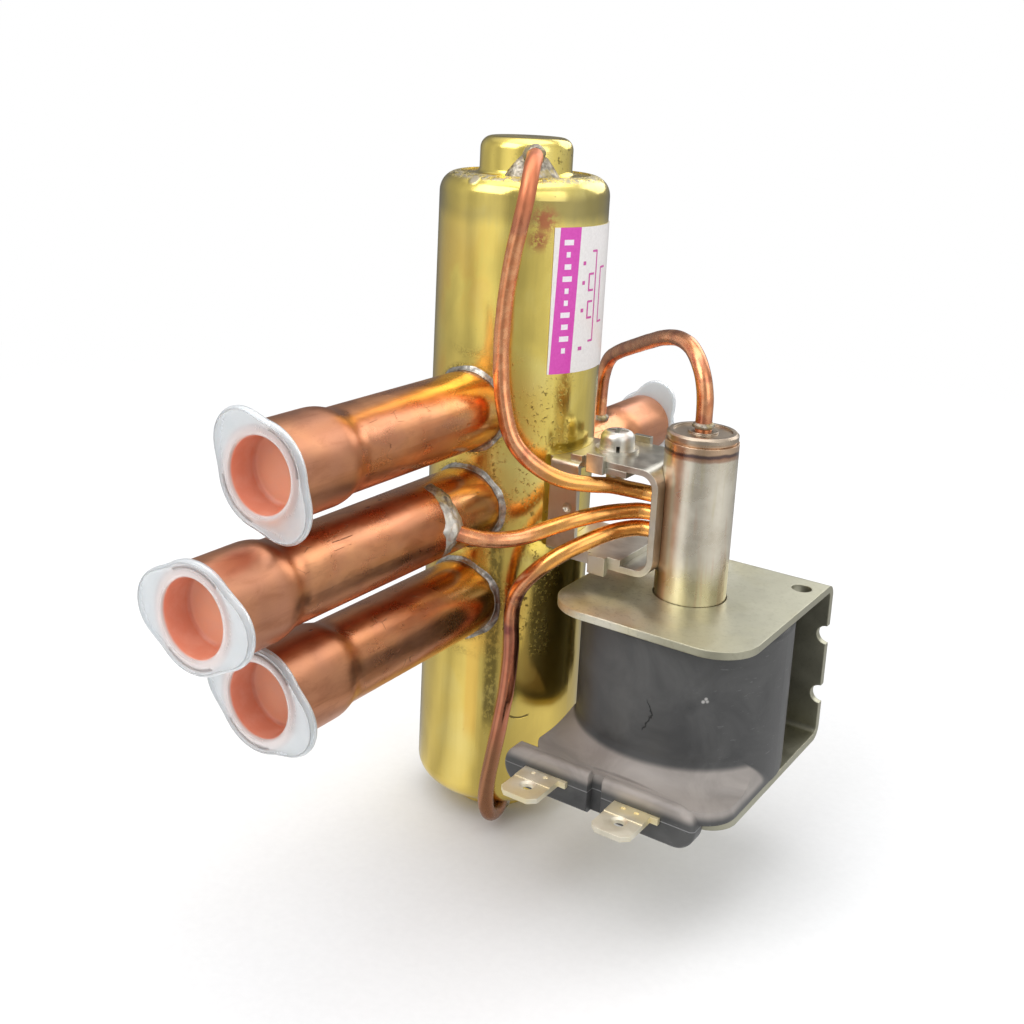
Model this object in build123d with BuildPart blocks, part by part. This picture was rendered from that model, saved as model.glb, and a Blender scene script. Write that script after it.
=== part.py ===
from build123d import *
import os
from math import cos, radians, sin, tan

# Four-way refrigerant reversing valve with its solenoid pilot valve.
# The origin is where the body's axis meets the middle pipe's axis, and +Z is up.
# Three pipes leave toward -Y, the discharge pipe toward +Y and the pilot valve stands at +X.
# All sizes are in millimetres.

os.makedirs("parts", exist_ok=True)

# Clearances
braze_gap = 0.05  # round pieces brazed into a bore
seat_gap = 0.02  # curved faces that lie on each other
running_gap = 0.08  # radial, round moving pieces
slide_gap = 0.03  # flat moving faces
plug_gap = 0.03  # radial, dust cap in its socket
fold_gap = 0.05  # sheet metal tabs beside an edge
path_gap = 0.3  # bent tubes that pass a corner

# Body tube and its two end caps
body_radius = 13.8
body_wall = 1.5
body_height = 106.0
roll_radius = 3.3
rim_step = 0.2
cap_wall = 1.5
cap_skirt = 0.9
boss_radius = 7.5
top_boss_height = 5.9
bottom_boss_height = 3.8
top_boss_edge = 2.0
bottom_boss_edge = 1.0
boss_root_radius = 0.9
boss_entry_inset = 0.2
boss_entry_run = 2.1

# Pipes: three of one size in a row, and the smaller discharge pipe
pipe_pitch = 16.0
pipe_radius = 6.35
pipe_wall = 0.75
side_pipe_reach = 60.0
suction_pipe_reach = 72.0
socket_bore_radius = 6.42
socket_wall = 0.73
socket_depth = 10.6
socket_lead_in = 4.6
socket_mouth_radius = 6.6
neck_length = 2.8
neck_round = 7.0
discharge_height = 1.2
discharge_reach = 49.0
discharge_radius = 4.76
discharge_wall = 0.7
discharge_socket_radius = 4.83
discharge_socket_depth = 12.0
discharge_lead_in = 4.0
discharge_mouth_radius = 5.0
discharge_root_inset = 0.5
ring_width = 1.15
ring_rise = 0.8
saddle_shift = 0.12
saddle_half_length = 4.1
saddle_half_height = 3.6
saddle_rise = 0.55

# Dust caps
flange_thickness = 1.3
flange_radius = 7.7
lobe_reach = 10.3
lobe_half_width = 3.7
cup_depth = 4.2
cup_wall = 1.05
cup_floor = 0.8
small_flange_radius = 6.4
small_lobe_reach = 9.5
small_lobe_half_width = 3.3
small_cup_wall = 0.95
small_cup_depth = 3.6
lobe_blend = 2.5
cap_rim = 0.8
cap_recess = 0.3
cap_lip = 1.1
evaporator_lobe_deg = -46.0
suction_lobe_deg = -4.0
condenser_lobe_deg = -17.0
discharge_lobe_deg = 115.0

# Label
label_drop = 7.3
label_height = 23.1
label_start_deg = -37.0
label_end_deg = 60.0
label_thickness = 0.15

# Main slide valve
seat_face = -4.0
seat_end_gap = 1.9
port_radius = 5.0
pipe_seat_depth = 3.75
slide_half_width = 8.0
slide_wall = 1.9
slide_base = 2.5
slide_hump_top = 5.0
slide_hump_wall = 0.6
slide_hump_half_width = 6.2
slide_hump_round = 1.5
slide_cavity_top = 3.2
frame_thickness = 0.8
frame_level = 0.5
frame_end_half_height = 5.0
frame_corner = 2.0
piston_end_gap = 0.8
piston_thickness = 2.0
seal_base = 1.0
seal_lip = 1.8
seal_lip_wall = 0.8
retainer_thickness = 0.8
retainer_gap = 0.3
piston_screw_spacing = 7.0
piston_screw_drop = 2.6
piston_screw_radius = 0.9
piston_screw_head_radius = 1.6
piston_screw_head = 1.2
piston_screw_tail = 1.6

# Pilot valve
pilot_offset = 34.5
pilot_radius = 5.65
pilot_wall = 0.6
pilot_tube_top = 14.9
plug_flange = 1.5
plug_flange_radius = 5.5
plug_depth = 3.4
plug_groove = 0.25
plug_edge = 0.35
plug_ring_outside = 4.5
plug_ring_inside = 2.3
plug_ring_depth = 0.3
pilot_port_height = 1.5
pilot_port_pitch = 2.9
pilot_port_radius = 0.6
pilot_seat_face = -1.9
pilot_seat_margin = 2.5
pilot_slide_depth = 2.4
pilot_slide_half_width = 2.0
pilot_slide_half_length = 3.2
pilot_cavity_half_width = 0.8
pilot_cavity_depth = 1.2
carrier_gap = 0.6
carrier_top = 8.5
carrier_floor = 2.4
plunger_top = -5.5
plunger_bottom = -19.0
core_top = -22.0
spring_bore = 2.6
spring_radius = 2.05
spring_wire = 0.35
spring_turns = 4
spring_seat_height = -13.0
leaf_thickness = 0.2

# Capillary tubes
capillary_radius = 1.3
capillary_bore = 0.7
capillary_inset = 2.0
boss_entry_deg = -49.0
boss_entry_rise = 1.7

# Coil, its yoke and the screw that holds them
yoke_thickness = 1.2
yoke_half_width = 16.4
yoke_front = 18.0
yoke_back = 19.9
yoke_foot_front = 18.6
yoke_top = -10.28
yoke_height = 27.38
yoke_bend_radius = 2.2
yoke_top_corner = 7.0
yoke_foot_corner = 5.0
pilot_hole_gap = 0.15
small_hole_radius = 1.6
small_hole_x = 47.6
small_hole_y = 13.9
notch_radius = 1.6
notch_spacing = 10.5
notch_height = -24.4
coil_radius = 16.6
coil_edge = 0.8
coil_clearance = 0.2
coil_bore_gap = 0.2
coil_end_wall = 1.3
bobbin_wall = 1.0
bobbin_flange_radius = 14.6
winding_radius = 14.2
apron_height = 2.1
apron_half_width = 16.5
apron_front = 20.5
apron_corner = 6.0
shoulder_width = 3.7
shoulder_height = 6.1
flare_radius = 4.2
block_left = 15.2
block_right = 47.8
block_front = 21.8
block_bottom = -40.2
block_lip = 0.6
block_lip_width = 1.3
block_edge = 0.8
block_notch_width = 2.4
block_notch_depth = 1.6
tab_width = 6.3
tab_thickness = 0.8
tab_reach = 29.7
tab_root = 19.5
tab_level = -36.65
tab_spacing = 15.6
tab_first_x = 22.5
tab_hole_radius = 0.85
tab_hole_y = 26.2
tab_corner = 1.1
tab_shoulder = 1.2
tab_shoulder_y = 22.5
tab_step_y = 25.0
tab_step = 0.12
tab_dimple_radius = 1.3
tab_dimple_deg = 120
tab_dot_radius = 0.4
tab_dot_depth = 0.25
tab_dot_spacing = 2.2
tab_dot_y = 22.9
coil_screw_radius = 2.0
coil_screw_head_radius = 3.5
coil_screw_head = 2.4
coil_screw_length = 8.5
coil_washer_radius = 4.5
coil_washer_thickness = 0.8

# Brackets between the body and the pilot tube
strip_thickness = 1.0
bracket_half_width = 7.0
bracket_top = 10.3
bracket_bottom = -7.1
bracket_arm_end = 25.5
pilot_bracket_start = 15.5
pilot_bracket_face = 31.0
pilot_bracket_bend = 3.0
cheek_start = 12.6
cheek_end = 17.6
cheek_round = 0.8
dimple_radius = 0.9
dimple_x = 16.0
dimple_z = 1.7
hook_width = 3.0
hook_height = 3.0
top_hook_x = 20.4
back_hook_x = 20.8
low_hook_x = 21.8
relief_depth = 0.9
screw_x = 20.0
screw_radius = 1.5
screw_length = 7.0
screw_head_radius = 2.75
screw_head = 2.0
screw_head_round = 1.3
screw_recess_length = 3.3
screw_recess_width = 0.75
screw_recess_depth = 1.2
screw_recess_turn_deg = 20.0
spring_washer_radius = 2.8
spring_washer_thickness = 0.8
spring_washer_split = 0.5
flat_washer_radius = 3.5
flat_washer_thickness = 0.5

# Worked out from the sizes above
body_top = body_height / 2
body_bore = body_radius - body_wall
roll_r = body_radius - roll_radius
roll_z = body_top - roll_radius
inner_roll = roll_radius - body_wall
cap_radius = body_bore - braze_gap
cap_roll = inner_roll - braze_gap
cap_flat = body_top - rim_step
cap_under = cap_flat - cap_wall
cap_skirt_bottom = roll_z - cap_skirt
label_top = body_top - label_drop
seat_radius = body_bore - braze_gap
slide_rest = -pipe_pitch / 2
slide_half_length = pipe_pitch / 2 + port_radius + slide_wall
piston_stack = piston_thickness + seal_base + seal_lip
piston_offset = cap_skirt_bottom - piston_end_gap - piston_stack + slide_rest
seat_half_length = piston_offset + slide_rest - frame_thickness - seat_end_gap
pipe_root = -seat_face + pipe_seat_depth + braze_gap
pilot_bore = pilot_radius - pilot_wall
pilot_ports = [pilot_port_height + step * pilot_port_pitch for step in (1, 0, -1)]
yoke_bottom = yoke_top - yoke_height
yoke_floor = yoke_bottom + yoke_thickness
coil_top = yoke_top - yoke_thickness - coil_clearance
coil_bottom = yoke_floor + coil_clearance
coil_bore = pilot_radius + coil_bore_gap
pilot_tube_bottom = yoke_floor
screw_spots = [(side * piston_screw_spacing / 2, -piston_screw_drop) for side in (-1, 1)]
pilot_slide_z = pilot_port_height + pilot_port_pitch / 2
apron_top = coil_bottom + apron_height
flare_top = apron_top + flare_radius
clamp_top = bracket_top - strip_thickness
clamp_bottom = bracket_bottom + strip_thickness


def pipe_plane(height, heading):
    """Sketch plane with the radius along X and the distance from the body along Y."""
    return Plane(origin=(0, 0, height), x_dir=(1, 0, 0), z_dir=(0, 0, heading))


def pipe_axis(height, heading):
    return Axis((0, 0, height), (0, heading, 0))


def bend_radii(points):
    """As large an arc at each point of a bent tube as its two runs leave room for."""
    spots = [Vector(*point) for point in points]
    radii = []
    for before, here, after in zip(spots, spots[1:], spots[2:]):
        into, out = here - before, after - here
        turn = radians(into.get_angle(out))
        radii.append(0.45 * min(into.length, out.length) / tan(turn / 2))
    return radii


# Body tube, its rims rolled inward
with BuildPart() as body_tube:
    with BuildSketch(Plane.XZ):
        with BuildLine():
            Line((body_radius, 0), (body_radius, roll_z))
            CenterArc((roll_r, roll_z), roll_radius, 0, 90)
            Line((roll_r, body_top), (roll_r, roll_z + inner_roll))
            CenterArc((roll_r, roll_z), inner_roll, 0, 90)
            Line((body_bore, roll_z), (body_bore, 0))
            Line((body_bore, 0), (body_radius, 0))
        make_face()
    revolve(axis=Axis.Z)
    mirror(about=Plane.XY)
    with BuildSketch(Plane.XZ):
        with Locations((0, pipe_pitch), (0, 0), (0, -pipe_pitch)):
            Circle(pipe_radius + braze_gap)
    extrude(amount=body_radius, mode=Mode.SUBTRACT)
    with BuildSketch(Plane.XZ):
        with Locations((0, discharge_height)):
            Circle(discharge_radius + braze_gap)
    extrude(amount=-body_radius, mode=Mode.SUBTRACT)

# End caps, pressed from plate: a skirt under the rolled rim and a hollow boss
entry_direction = Vector(cos(radians(boss_entry_deg)), sin(radians(boss_entry_deg)), 0)
top_entry_height = body_top + capillary_radius + path_gap + boss_entry_rise
bottom_entry_height = body_top + capillary_radius + path_gap
boss_bore = boss_radius - cap_wall


def end_cap(boss_height, boss_edge, entry_height):
    boss_top = body_top + boss_height - rim_step
    edge_r = boss_radius - boss_edge
    root_r = boss_radius + boss_root_radius
    root_z = cap_flat + boss_root_radius
    lip_r = roll_r - braze_gap
    with BuildPart() as cap:
        with BuildSketch(Plane.XZ):
            with BuildLine():
                Line((0, boss_top), (edge_r, boss_top))
                CenterArc((edge_r, boss_top - boss_edge), boss_edge, 90, -90)
                Line((boss_radius, boss_top - boss_edge), (boss_radius, root_z))
                CenterArc((root_r, root_z), boss_root_radius, 180, 90)
                Polyline(
                    (root_r, cap_flat),
                    (lip_r, cap_flat),
                    (lip_r, roll_z + cap_roll),
                    (roll_r, roll_z + cap_roll),
                )
                CenterArc((roll_r, roll_z), cap_roll, 90, -90)
                Polyline(
                    (cap_radius, roll_z),
                    (cap_radius, cap_skirt_bottom),
                    (roll_r - cap_wall, cap_skirt_bottom),
                    (roll_r - cap_wall, cap_under),
                    (boss_bore, cap_under),
                    (boss_bore, boss_top - cap_wall),
                    (0, boss_top - cap_wall),
                    (0, boss_top),
                )
            make_face()
        revolve(axis=Axis.Z)
        with BuildSketch(Plane(origin=(0, 0, entry_height), z_dir=entry_direction)):
            Circle(capillary_radius + seat_gap)
        extrude(amount=boss_radius + capillary_radius, mode=Mode.SUBTRACT)
    return cap


top_end_cap = end_cap(top_boss_height, top_boss_edge, top_entry_height)
bottom_cap_blank = end_cap(bottom_boss_height, bottom_boss_edge, bottom_entry_height)
with BuildPart() as bottom_end_cap:
    mirror(bottom_cap_blank.part, about=Plane.XY)


def socket_pipe(height, heading, root, reach, tube, wall, bore, depth, lead_in, mouth):
    """A copper stub whose outer end is expanded into a socket for the next pipe."""
    neck_start = reach - depth - neck_length
    outside = bore + socket_wall
    with BuildPart() as pipe:
        with BuildSketch(pipe_plane(height, heading)):
            with BuildLine():
                FilletPolyline(
                    (tube, root),
                    (tube, neck_start),
                    (outside, reach - depth),
                    (outside, reach),
                    radius=neck_round,
                )
                Polyline(
                    (outside, reach),
                    (mouth, reach),
                    (bore, reach - lead_in),
                    (bore, reach - depth),
                    (tube - wall, neck_start),
                    (tube - wall, root),
                    (tube, root),
                )
            make_face()
        revolve(axis=pipe_axis(height, heading))
    return pipe


main_socket = (pipe_radius, pipe_wall, socket_bore_radius, socket_depth, socket_lead_in, socket_mouth_radius)
evaporator_pipe = socket_pipe(pipe_pitch, -1, pipe_root, side_pipe_reach, *main_socket)
condenser_pipe = socket_pipe(-pipe_pitch, -1, pipe_root, side_pipe_reach, *main_socket)

capillary_end = pilot_offset - pilot_radius + capillary_inset

# The suction capillary runs into the side of the suction pipe at a slant
suction_route = [
    (5.35, -25.9, 0.4),
    (8.1, -22.4, -1.5),
    (10.2, -18.2, -2.4),
    (12.6, -15.1, -2.2),
    (15.5, -12.4, -0.7),
    (18.8, -9.7, 0.8),
    (20.9, -6.0, 1.3),
    (23.3, -2.5, 1.4),
    (26.0, 0, pilot_port_height),
    (capillary_end, 0, pilot_port_height),
]
suction_start = Vector(*suction_route[0])
suction_run = Vector(*suction_route[1]) - suction_start
suction_entry = Plane(origin=suction_route[0], z_dir=suction_run)
suction_blank = socket_pipe(0, -1, pipe_root, suction_pipe_reach, *main_socket)
with BuildPart() as suction_pipe:
    add(suction_blank.part)
    with BuildSketch(suction_entry.offset(-capillary_radius)):
        Circle(capillary_radius + seat_gap)
    extrude(amount=suction_run.length, mode=Mode.SUBTRACT)

# The discharge capillary stands in the top of the discharge pipe
discharge_top = discharge_height + discharge_radius
discharge_route = [
    (0.1, 30.0, discharge_top - 1.0),
    (0.1, 30.0, discharge_top + 4.8),
    (0.6, 29.8, 14.6),
    (2.4, 28.2, 18.2),
    (6.3, 24.6, 20.6),
    (11.5, 20.3, 23.0),
    (17.2, 14.9, 25.6),
    (22.0, 10.4, 27.6),
    (26.2, 6.9, 28.6),
    (30.2, 3.3, 28.2),
    (33.0, 0.9, 25.7),
    (34.3, 0.1, 22.2),
    (pilot_offset, 0, 18.6),
    (pilot_offset, 0, pilot_tube_top + plug_flange - capillary_inset),
]
discharge_blank = socket_pipe(
    discharge_height, 1, body_bore - discharge_root_inset, discharge_reach, discharge_radius, discharge_wall,
    discharge_socket_radius, discharge_socket_depth, discharge_lead_in, discharge_mouth_radius,
)
with BuildPart() as discharge_pipe:
    add(discharge_blank.part)
    with BuildSketch(Plane.XY.offset(discharge_height)):
        with Locations(discharge_route[0][:2]):
            Circle(capillary_radius + seat_gap)
    extrude(amount=2 * discharge_radius, mode=Mode.SUBTRACT)

# Braze rings where the four pipes enter the body
with BuildPart() as braze_rings:
    for height, heading, tube in (
        (pipe_pitch, -1, pipe_radius),
        (0, -1, pipe_radius),
        (-pipe_pitch, -1, pipe_radius),
        (discharge_height, 1, discharge_radius),
    ):
        inside = tube + seat_gap
        with BuildSketch(pipe_plane(height, heading)):
            with BuildLine():
                Line((inside, body_bore), (inside, body_radius + ring_rise))
                RadiusArc((inside, body_radius + ring_rise), (tube + ring_width, body_radius), -ring_width)
                Line((tube + ring_width, body_radius), (tube + ring_width, body_bore - ring_width))
                Line((tube + ring_width, body_bore - ring_width), (inside, body_bore))
            make_face()
        revolve(axis=pipe_axis(height, heading))
    Cylinder(body_radius + seat_gap, body_height, mode=Mode.SUBTRACT)

# Braze patch round the suction capillary's entry
saddle_middle = suction_start + suction_run * saddle_shift
with BuildPart() as capillary_saddle:
    with BuildSketch(Plane.XZ.offset(-saddle_middle.Y - 2 * saddle_half_length)):
        Circle(pipe_radius + saddle_rise)
        Circle(pipe_radius + seat_gap, mode=Mode.SUBTRACT)
    extrude(amount=4 * saddle_half_length)
    with BuildSketch(Plane.YZ):
        with Locations((saddle_middle.Y, saddle_middle.Z)):
            Ellipse(saddle_half_length, saddle_half_height)
    extrude(amount=2 * pipe_radius, mode=Mode.INTERSECT)
    with BuildSketch(suction_entry):
        Circle(capillary_radius + 2 * braze_gap)
    extrude(amount=suction_run.length, mode=Mode.SUBTRACT)

# Capillary tubes from the end caps, round the front of the body to the pilot valve
entry_start = entry_direction * (boss_bore + boss_entry_inset)
entry_turn = entry_direction * (boss_radius + boss_entry_run)
top_route = [
    (entry_start.X, entry_start.Y, top_entry_height),
    (entry_turn.X, entry_turn.Y, top_entry_height),
    (8.7, -12.0, body_top + 2.3),
    (9.6, -14.2, body_top - 1.0),
    (9.0, -14.6, body_top - 5.4),
    (7.9, -14.9, body_top * 0.79),
    (7.1, -15.1, body_top * 0.67),
    (6.9, -15.4, body_top * 0.55),
    (7.2, -15.6, body_top * 0.44),
    (8.3, -15.8, 17.4),
    (10.0, -15.6, 12.6),
    (13.3, -14.0, 9.2),
    (17.0, -11.5, 7.1),
    (20.0, -8.4, 6.5),
    (22.2, -4.9, 6.0),
    (24.0, -1.9, 5.0),
    (26.2, 0, pilot_ports[0]),
    (capillary_end, 0, pilot_ports[0]),
]
bottom_route = [
    (entry_start.X, entry_start.Y, -bottom_entry_height),
    (entry_turn.X, entry_turn.Y, -bottom_entry_height),
    (7.4, -12.6, -body_top - 0.9),
    (7.7, -14.8, -body_top + 2.4),
    (7.9, -14.8, -body_top + 6.8),
    (8.6, -14.3, -body_top * 0.77),
    (9.3, -13.7, -body_top * 0.66),
    (9.9, -13.2, -body_top * 0.55),
    (10.2, -13.0, -body_top * 0.42),
    (9.9, -13.3, -16.2),
    (11.3, -14.2, -11.6),
    (14.4, -14.3, -7.6),
    (17.6, -11.9, -4.6),
    (20.4, -8.6, -2.7),
    (22.4, -5.0, -1.7),
    (24.2, -1.9, -1.4),
    (26.2, 0, pilot_ports[2]),
    (capillary_end, 0, pilot_ports[2]),
]


def capillary(points):
    """A thin copper tube along straight runs joined by arcs."""
    with BuildPart() as tube:
        with BuildLine() as route:
            FilletPolyline(*points, radius=bend_radii(points))
        with BuildSketch(Plane(origin=points[0], z_dir=route.line % 0)):
            Circle(capillary_radius)
            Circle(capillary_bore, mode=Mode.SUBTRACT)
        sweep()
    return tube


top_capillary = capillary(top_route)
bottom_capillary = capillary(bottom_route)
suction_capillary = capillary(suction_route)
discharge_capillary = capillary(discharge_route)

# Label wrapped on the body
label_inside = body_radius + seat_gap
label_outside = label_inside + label_thickness
label_turn = label_end_deg - label_start_deg
with BuildPart() as label:
    with BuildSketch(Plane.XY.offset(label_top)):
        with BuildLine():
            outer = CenterArc((0, 0), label_outside, label_start_deg, label_turn)
            inner = CenterArc((0, 0), label_inside, label_start_deg, label_turn)
            Line(outer @ 0, inner @ 0)
            Line(outer @ 1, inner @ 1)
        make_face()
    extrude(amount=-label_height)


def lobed_face(plane, flange, lobe, half_width, turn, inset):
    """Round flange with two opposite pull lobes, drawn in by an inset all round."""
    spread = lobe - half_width
    with BuildSketch(plane) as face:
        Circle(flange - inset)
        for side in (-1, 1):
            with Locations((side * spread * cos(turn), side * spread * sin(turn))):
                Circle(half_width - inset)
        fillet(face.vertices(), lobe_blend + inset)
    return face.sketch


def dust_cap(height, heading, reach, mouth, bore, lead_in, wall, depth, flange, lobe, half_width, lobe_deg):
    """A thin moulded cup that plugs a pipe's socket, with a rimmed, two-lobed pull flange."""
    slope = (mouth - bore) / lead_in
    tip = mouth - slope * depth - plug_gap
    opening = tip - wall
    flange_plane = Plane(origin=(0, heading * reach, height), x_dir=(1, 0, 0), z_dir=(0, heading, 0))
    front_plane = flange_plane.offset(flange_thickness)
    lobed = (flange, lobe, half_width, radians(lobe_deg if heading < 0 else -lobe_deg))
    with BuildPart() as cap:
        extrude(lobed_face(flange_plane, *lobed, 0), amount=flange_thickness)
        extrude(lobed_face(front_plane, *lobed, cap_rim), amount=-cap_recess, mode=Mode.SUBTRACT)
        with BuildSketch(front_plane):
            Circle(opening + cap_lip)
        extrude(amount=-flange_thickness)
        with BuildSketch(pipe_plane(height, heading)):
            with BuildLine():
                Polyline(
                    (0, reach),
                    (mouth - plug_gap, reach),
                    (tip, reach - depth),
                    (0, reach - depth),
                    (0, reach),
                )
            make_face()
        revolve(axis=pipe_axis(height, heading))
        with BuildSketch(front_plane):
            Circle(opening)
        extrude(amount=cup_floor - depth - flange_thickness, mode=Mode.SUBTRACT)
    return cap


main_plug = (socket_mouth_radius, socket_bore_radius, socket_lead_in, cup_wall, cup_depth)
main_flange = (flange_radius, lobe_reach, lobe_half_width)
evaporator_cap = dust_cap(pipe_pitch, -1, side_pipe_reach, *main_plug, *main_flange, evaporator_lobe_deg)
suction_cap = dust_cap(0, -1, suction_pipe_reach, *main_plug, *main_flange, suction_lobe_deg)
condenser_cap = dust_cap(-pipe_pitch, -1, side_pipe_reach, *main_plug, *main_flange, condenser_lobe_deg)
discharge_cap = dust_cap(
    discharge_height, 1, discharge_reach, discharge_mouth_radius, discharge_socket_radius,
    discharge_lead_in, small_cup_wall, small_cup_depth, small_flange_radius, small_lobe_reach,
    small_lobe_half_width, discharge_lobe_deg,
)

# Brass seat with three ports, inside the body
with BuildPart() as valve_seat:
    Cylinder(seat_radius, 2 * seat_half_length)
    split(bisect_by=Plane(origin=(0, seat_face, 0), z_dir=(0, 1, 0)), keep=Keep.BOTTOM)
    with BuildSketch(Plane.XZ):
        with Locations((0, pipe_pitch), (0, 0), (0, -pipe_pitch)):
            Circle(port_radius)
    extrude(amount=body_radius, mode=Mode.SUBTRACT)
    with BuildSketch(Plane.XZ.offset(pipe_root - braze_gap)):
        with Locations((0, pipe_pitch), (0, 0), (0, -pipe_pitch)):
            Circle(pipe_radius + braze_gap)
    extrude(amount=body_radius, mode=Mode.SUBTRACT)

# Moulded slide that bridges the middle port and one of the outer ports
slide_plane = Plane(origin=(0, seat_face + slide_gap, slide_rest), x_dir=(0, 0, 1), z_dir=(0, 1, 0))
hump_half_length = pipe_pitch / 2 + port_radius + slide_hump_wall
with BuildPart() as slide_block:
    with BuildSketch(slide_plane):
        SlotOverall(2 * slide_half_length, 2 * slide_half_width)
    extrude(amount=slide_base)
    with BuildSketch(slide_plane):
        SlotOverall(2 * hump_half_length, 2 * slide_hump_half_width)
    extrude(amount=slide_hump_top - seat_face)
    fillet(slide_block.faces().sort_by(Axis.Y)[-1].edges(), slide_hump_round)
    with BuildSketch(slide_plane):
        SlotCenterToCenter(pipe_pitch, 2 * port_radius)
    extrude(amount=slide_cavity_top - seat_face, mode=Mode.SUBTRACT)

# Steel strip that carries the slide and ties the two pistons together
frame_half_length = piston_offset - frame_thickness
strip_plane = Plane(origin=(0, frame_level, slide_rest), x_dir=(0, 0, 1), z_dir=(0, 1, 0))
with BuildPart() as slide_frame:
    with BuildSketch(strip_plane):
        RectangleRounded(2 * frame_half_length, 2 * slide_half_width, frame_corner)
        SlotOverall(2 * (hump_half_length + slide_gap), 2 * (slide_hump_half_width + slide_gap), mode=Mode.SUBTRACT)
    extrude(amount=frame_thickness)
    for side in (-1, 1):
        with BuildSketch(Plane.XY.offset(slide_rest + side * frame_half_length)):
            with Locations((0, frame_level + frame_thickness / 2)):
                RectangleRounded(2 * slide_half_width, 2 * frame_end_half_height, frame_corner)
            with Locations(*screw_spots):
                Circle(piston_screw_radius + seat_gap, mode=Mode.SUBTRACT)
        extrude(amount=side * frame_thickness)

piston_radius = body_bore - running_gap


def stack_plane(side, offset):
    """Plane across the body at a distance from the slide's middle."""
    return Plane.XY.offset(slide_rest + side * offset)


def piston(side):
    with BuildPart() as plate:
        with BuildSketch(stack_plane(side, piston_offset)):
            Circle(piston_radius)
            with Locations(*screw_spots):
                Circle(piston_screw_radius + seat_gap, mode=Mode.SUBTRACT)
        extrude(amount=side * piston_thickness)
    return plate


def cup_seal(side):
    with BuildPart() as seal:
        with BuildSketch(stack_plane(side, piston_offset + piston_thickness)):
            Circle(piston_radius)
            with Locations(*screw_spots):
                Circle(piston_screw_radius + seat_gap, mode=Mode.SUBTRACT)
        extrude(amount=side * seal_base)
        with BuildSketch(stack_plane(side, piston_offset + piston_thickness + seal_base)):
            Circle(piston_radius)
            Circle(piston_radius - seal_lip_wall, mode=Mode.SUBTRACT)
        extrude(amount=side * seal_lip)
    return seal


upper_piston = piston(1)
lower_piston = piston(-1)
upper_seal = cup_seal(1)
lower_seal = cup_seal(-1)
retainer_offset = piston_offset + piston_thickness + seal_base
with BuildPart() as seal_retainers:
    for side in (-1, 1):
        with BuildSketch(stack_plane(side, retainer_offset)):
            Circle(piston_radius - seal_lip_wall - retainer_gap)
            with Locations(*screw_spots):
                Circle(piston_screw_radius + seat_gap, mode=Mode.SUBTRACT)
        extrude(amount=side * retainer_thickness)

screw_head_offset = retainer_offset + retainer_thickness
screw_tail_offset = piston_offset - frame_thickness - piston_screw_tail
with BuildPart() as piston_screws:
    for side in (-1, 1):
        with BuildSketch(stack_plane(side, screw_head_offset)):
            with Locations(*screw_spots):
                Circle(piston_screw_head_radius)
        extrude(amount=side * piston_screw_head)
        with BuildSketch(stack_plane(side, screw_tail_offset)):
            with Locations(*screw_spots):
                Circle(piston_screw_radius)
        extrude(amount=side * (screw_head_offset - screw_tail_offset))

# Pilot valve: the tube, its plug and the core that closes its lower end
pilot_middle = (pilot_offset, 0)
with BuildPart() as pilot_tube:
    with BuildSketch(Plane.XY.offset(pilot_tube_bottom)):
        with Locations(pilot_middle):
            Circle(pilot_radius)
            Circle(pilot_bore, mode=Mode.SUBTRACT)
    extrude(amount=pilot_tube_top - pilot_tube_bottom)
    with BuildSketch(Plane.YZ.offset(pilot_offset)):
        with Locations(*[(0, height) for height in pilot_ports]):
            Circle(capillary_radius + seat_gap)
    extrude(amount=-2 * pilot_radius, mode=Mode.SUBTRACT)

plug_top = pilot_tube_top + plug_flange
plug_radius = pilot_bore - seat_gap
groove_top = pilot_tube_top + plug_groove * 2
with BuildPart() as pilot_plug:
    with BuildSketch(Plane(origin=(pilot_offset, 0, 0), x_dir=(1, 0, 0), z_dir=(0, -1, 0))):
        with BuildLine():
            Polyline(
                (0, pilot_tube_top - plug_depth),
                (plug_radius, pilot_tube_top - plug_depth),
                (plug_radius, pilot_tube_top),
                (plug_flange_radius - plug_groove, pilot_tube_top),
                (plug_flange_radius - plug_groove, groove_top),
                (plug_flange_radius, groove_top),
                (plug_flange_radius, plug_top - plug_edge),
                (plug_flange_radius - plug_edge, plug_top),
                (0, plug_top),
                (0, pilot_tube_top - plug_depth),
            )
        make_face()
    revolve(axis=Axis((pilot_offset, 0, 0), (0, 0, 1)))
    with BuildSketch(Plane.XY.offset(plug_top)):
        with Locations(pilot_middle):
            Circle(plug_ring_outside)
            Circle(plug_ring_inside, mode=Mode.SUBTRACT)
    extrude(amount=-plug_ring_depth, mode=Mode.SUBTRACT)
    with BuildSketch(Plane.XY.offset(plug_top)):
        with Locations(pilot_middle):
            Circle(capillary_radius + seat_gap)
    extrude(amount=-capillary_inset, mode=Mode.SUBTRACT)
    with BuildSketch(Plane.XY.offset(plug_top)):
        with Locations(pilot_middle):
            Circle(pilot_port_radius)
    extrude(amount=-plug_flange - plug_depth, mode=Mode.SUBTRACT)

core_radius = pilot_bore - seat_gap
with BuildPart() as fixed_core:
    with BuildSketch(Plane.XY.offset(pilot_tube_bottom)):
        with Locations(pilot_middle):
            Circle(core_radius)
    extrude(amount=core_top - pilot_tube_bottom)
    with BuildSketch(Plane.XY.offset(pilot_tube_bottom)):
        with Locations(pilot_middle):
            Circle(coil_screw_radius + seat_gap)
    extrude(amount=coil_screw_length, mode=Mode.SUBTRACT)

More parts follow.
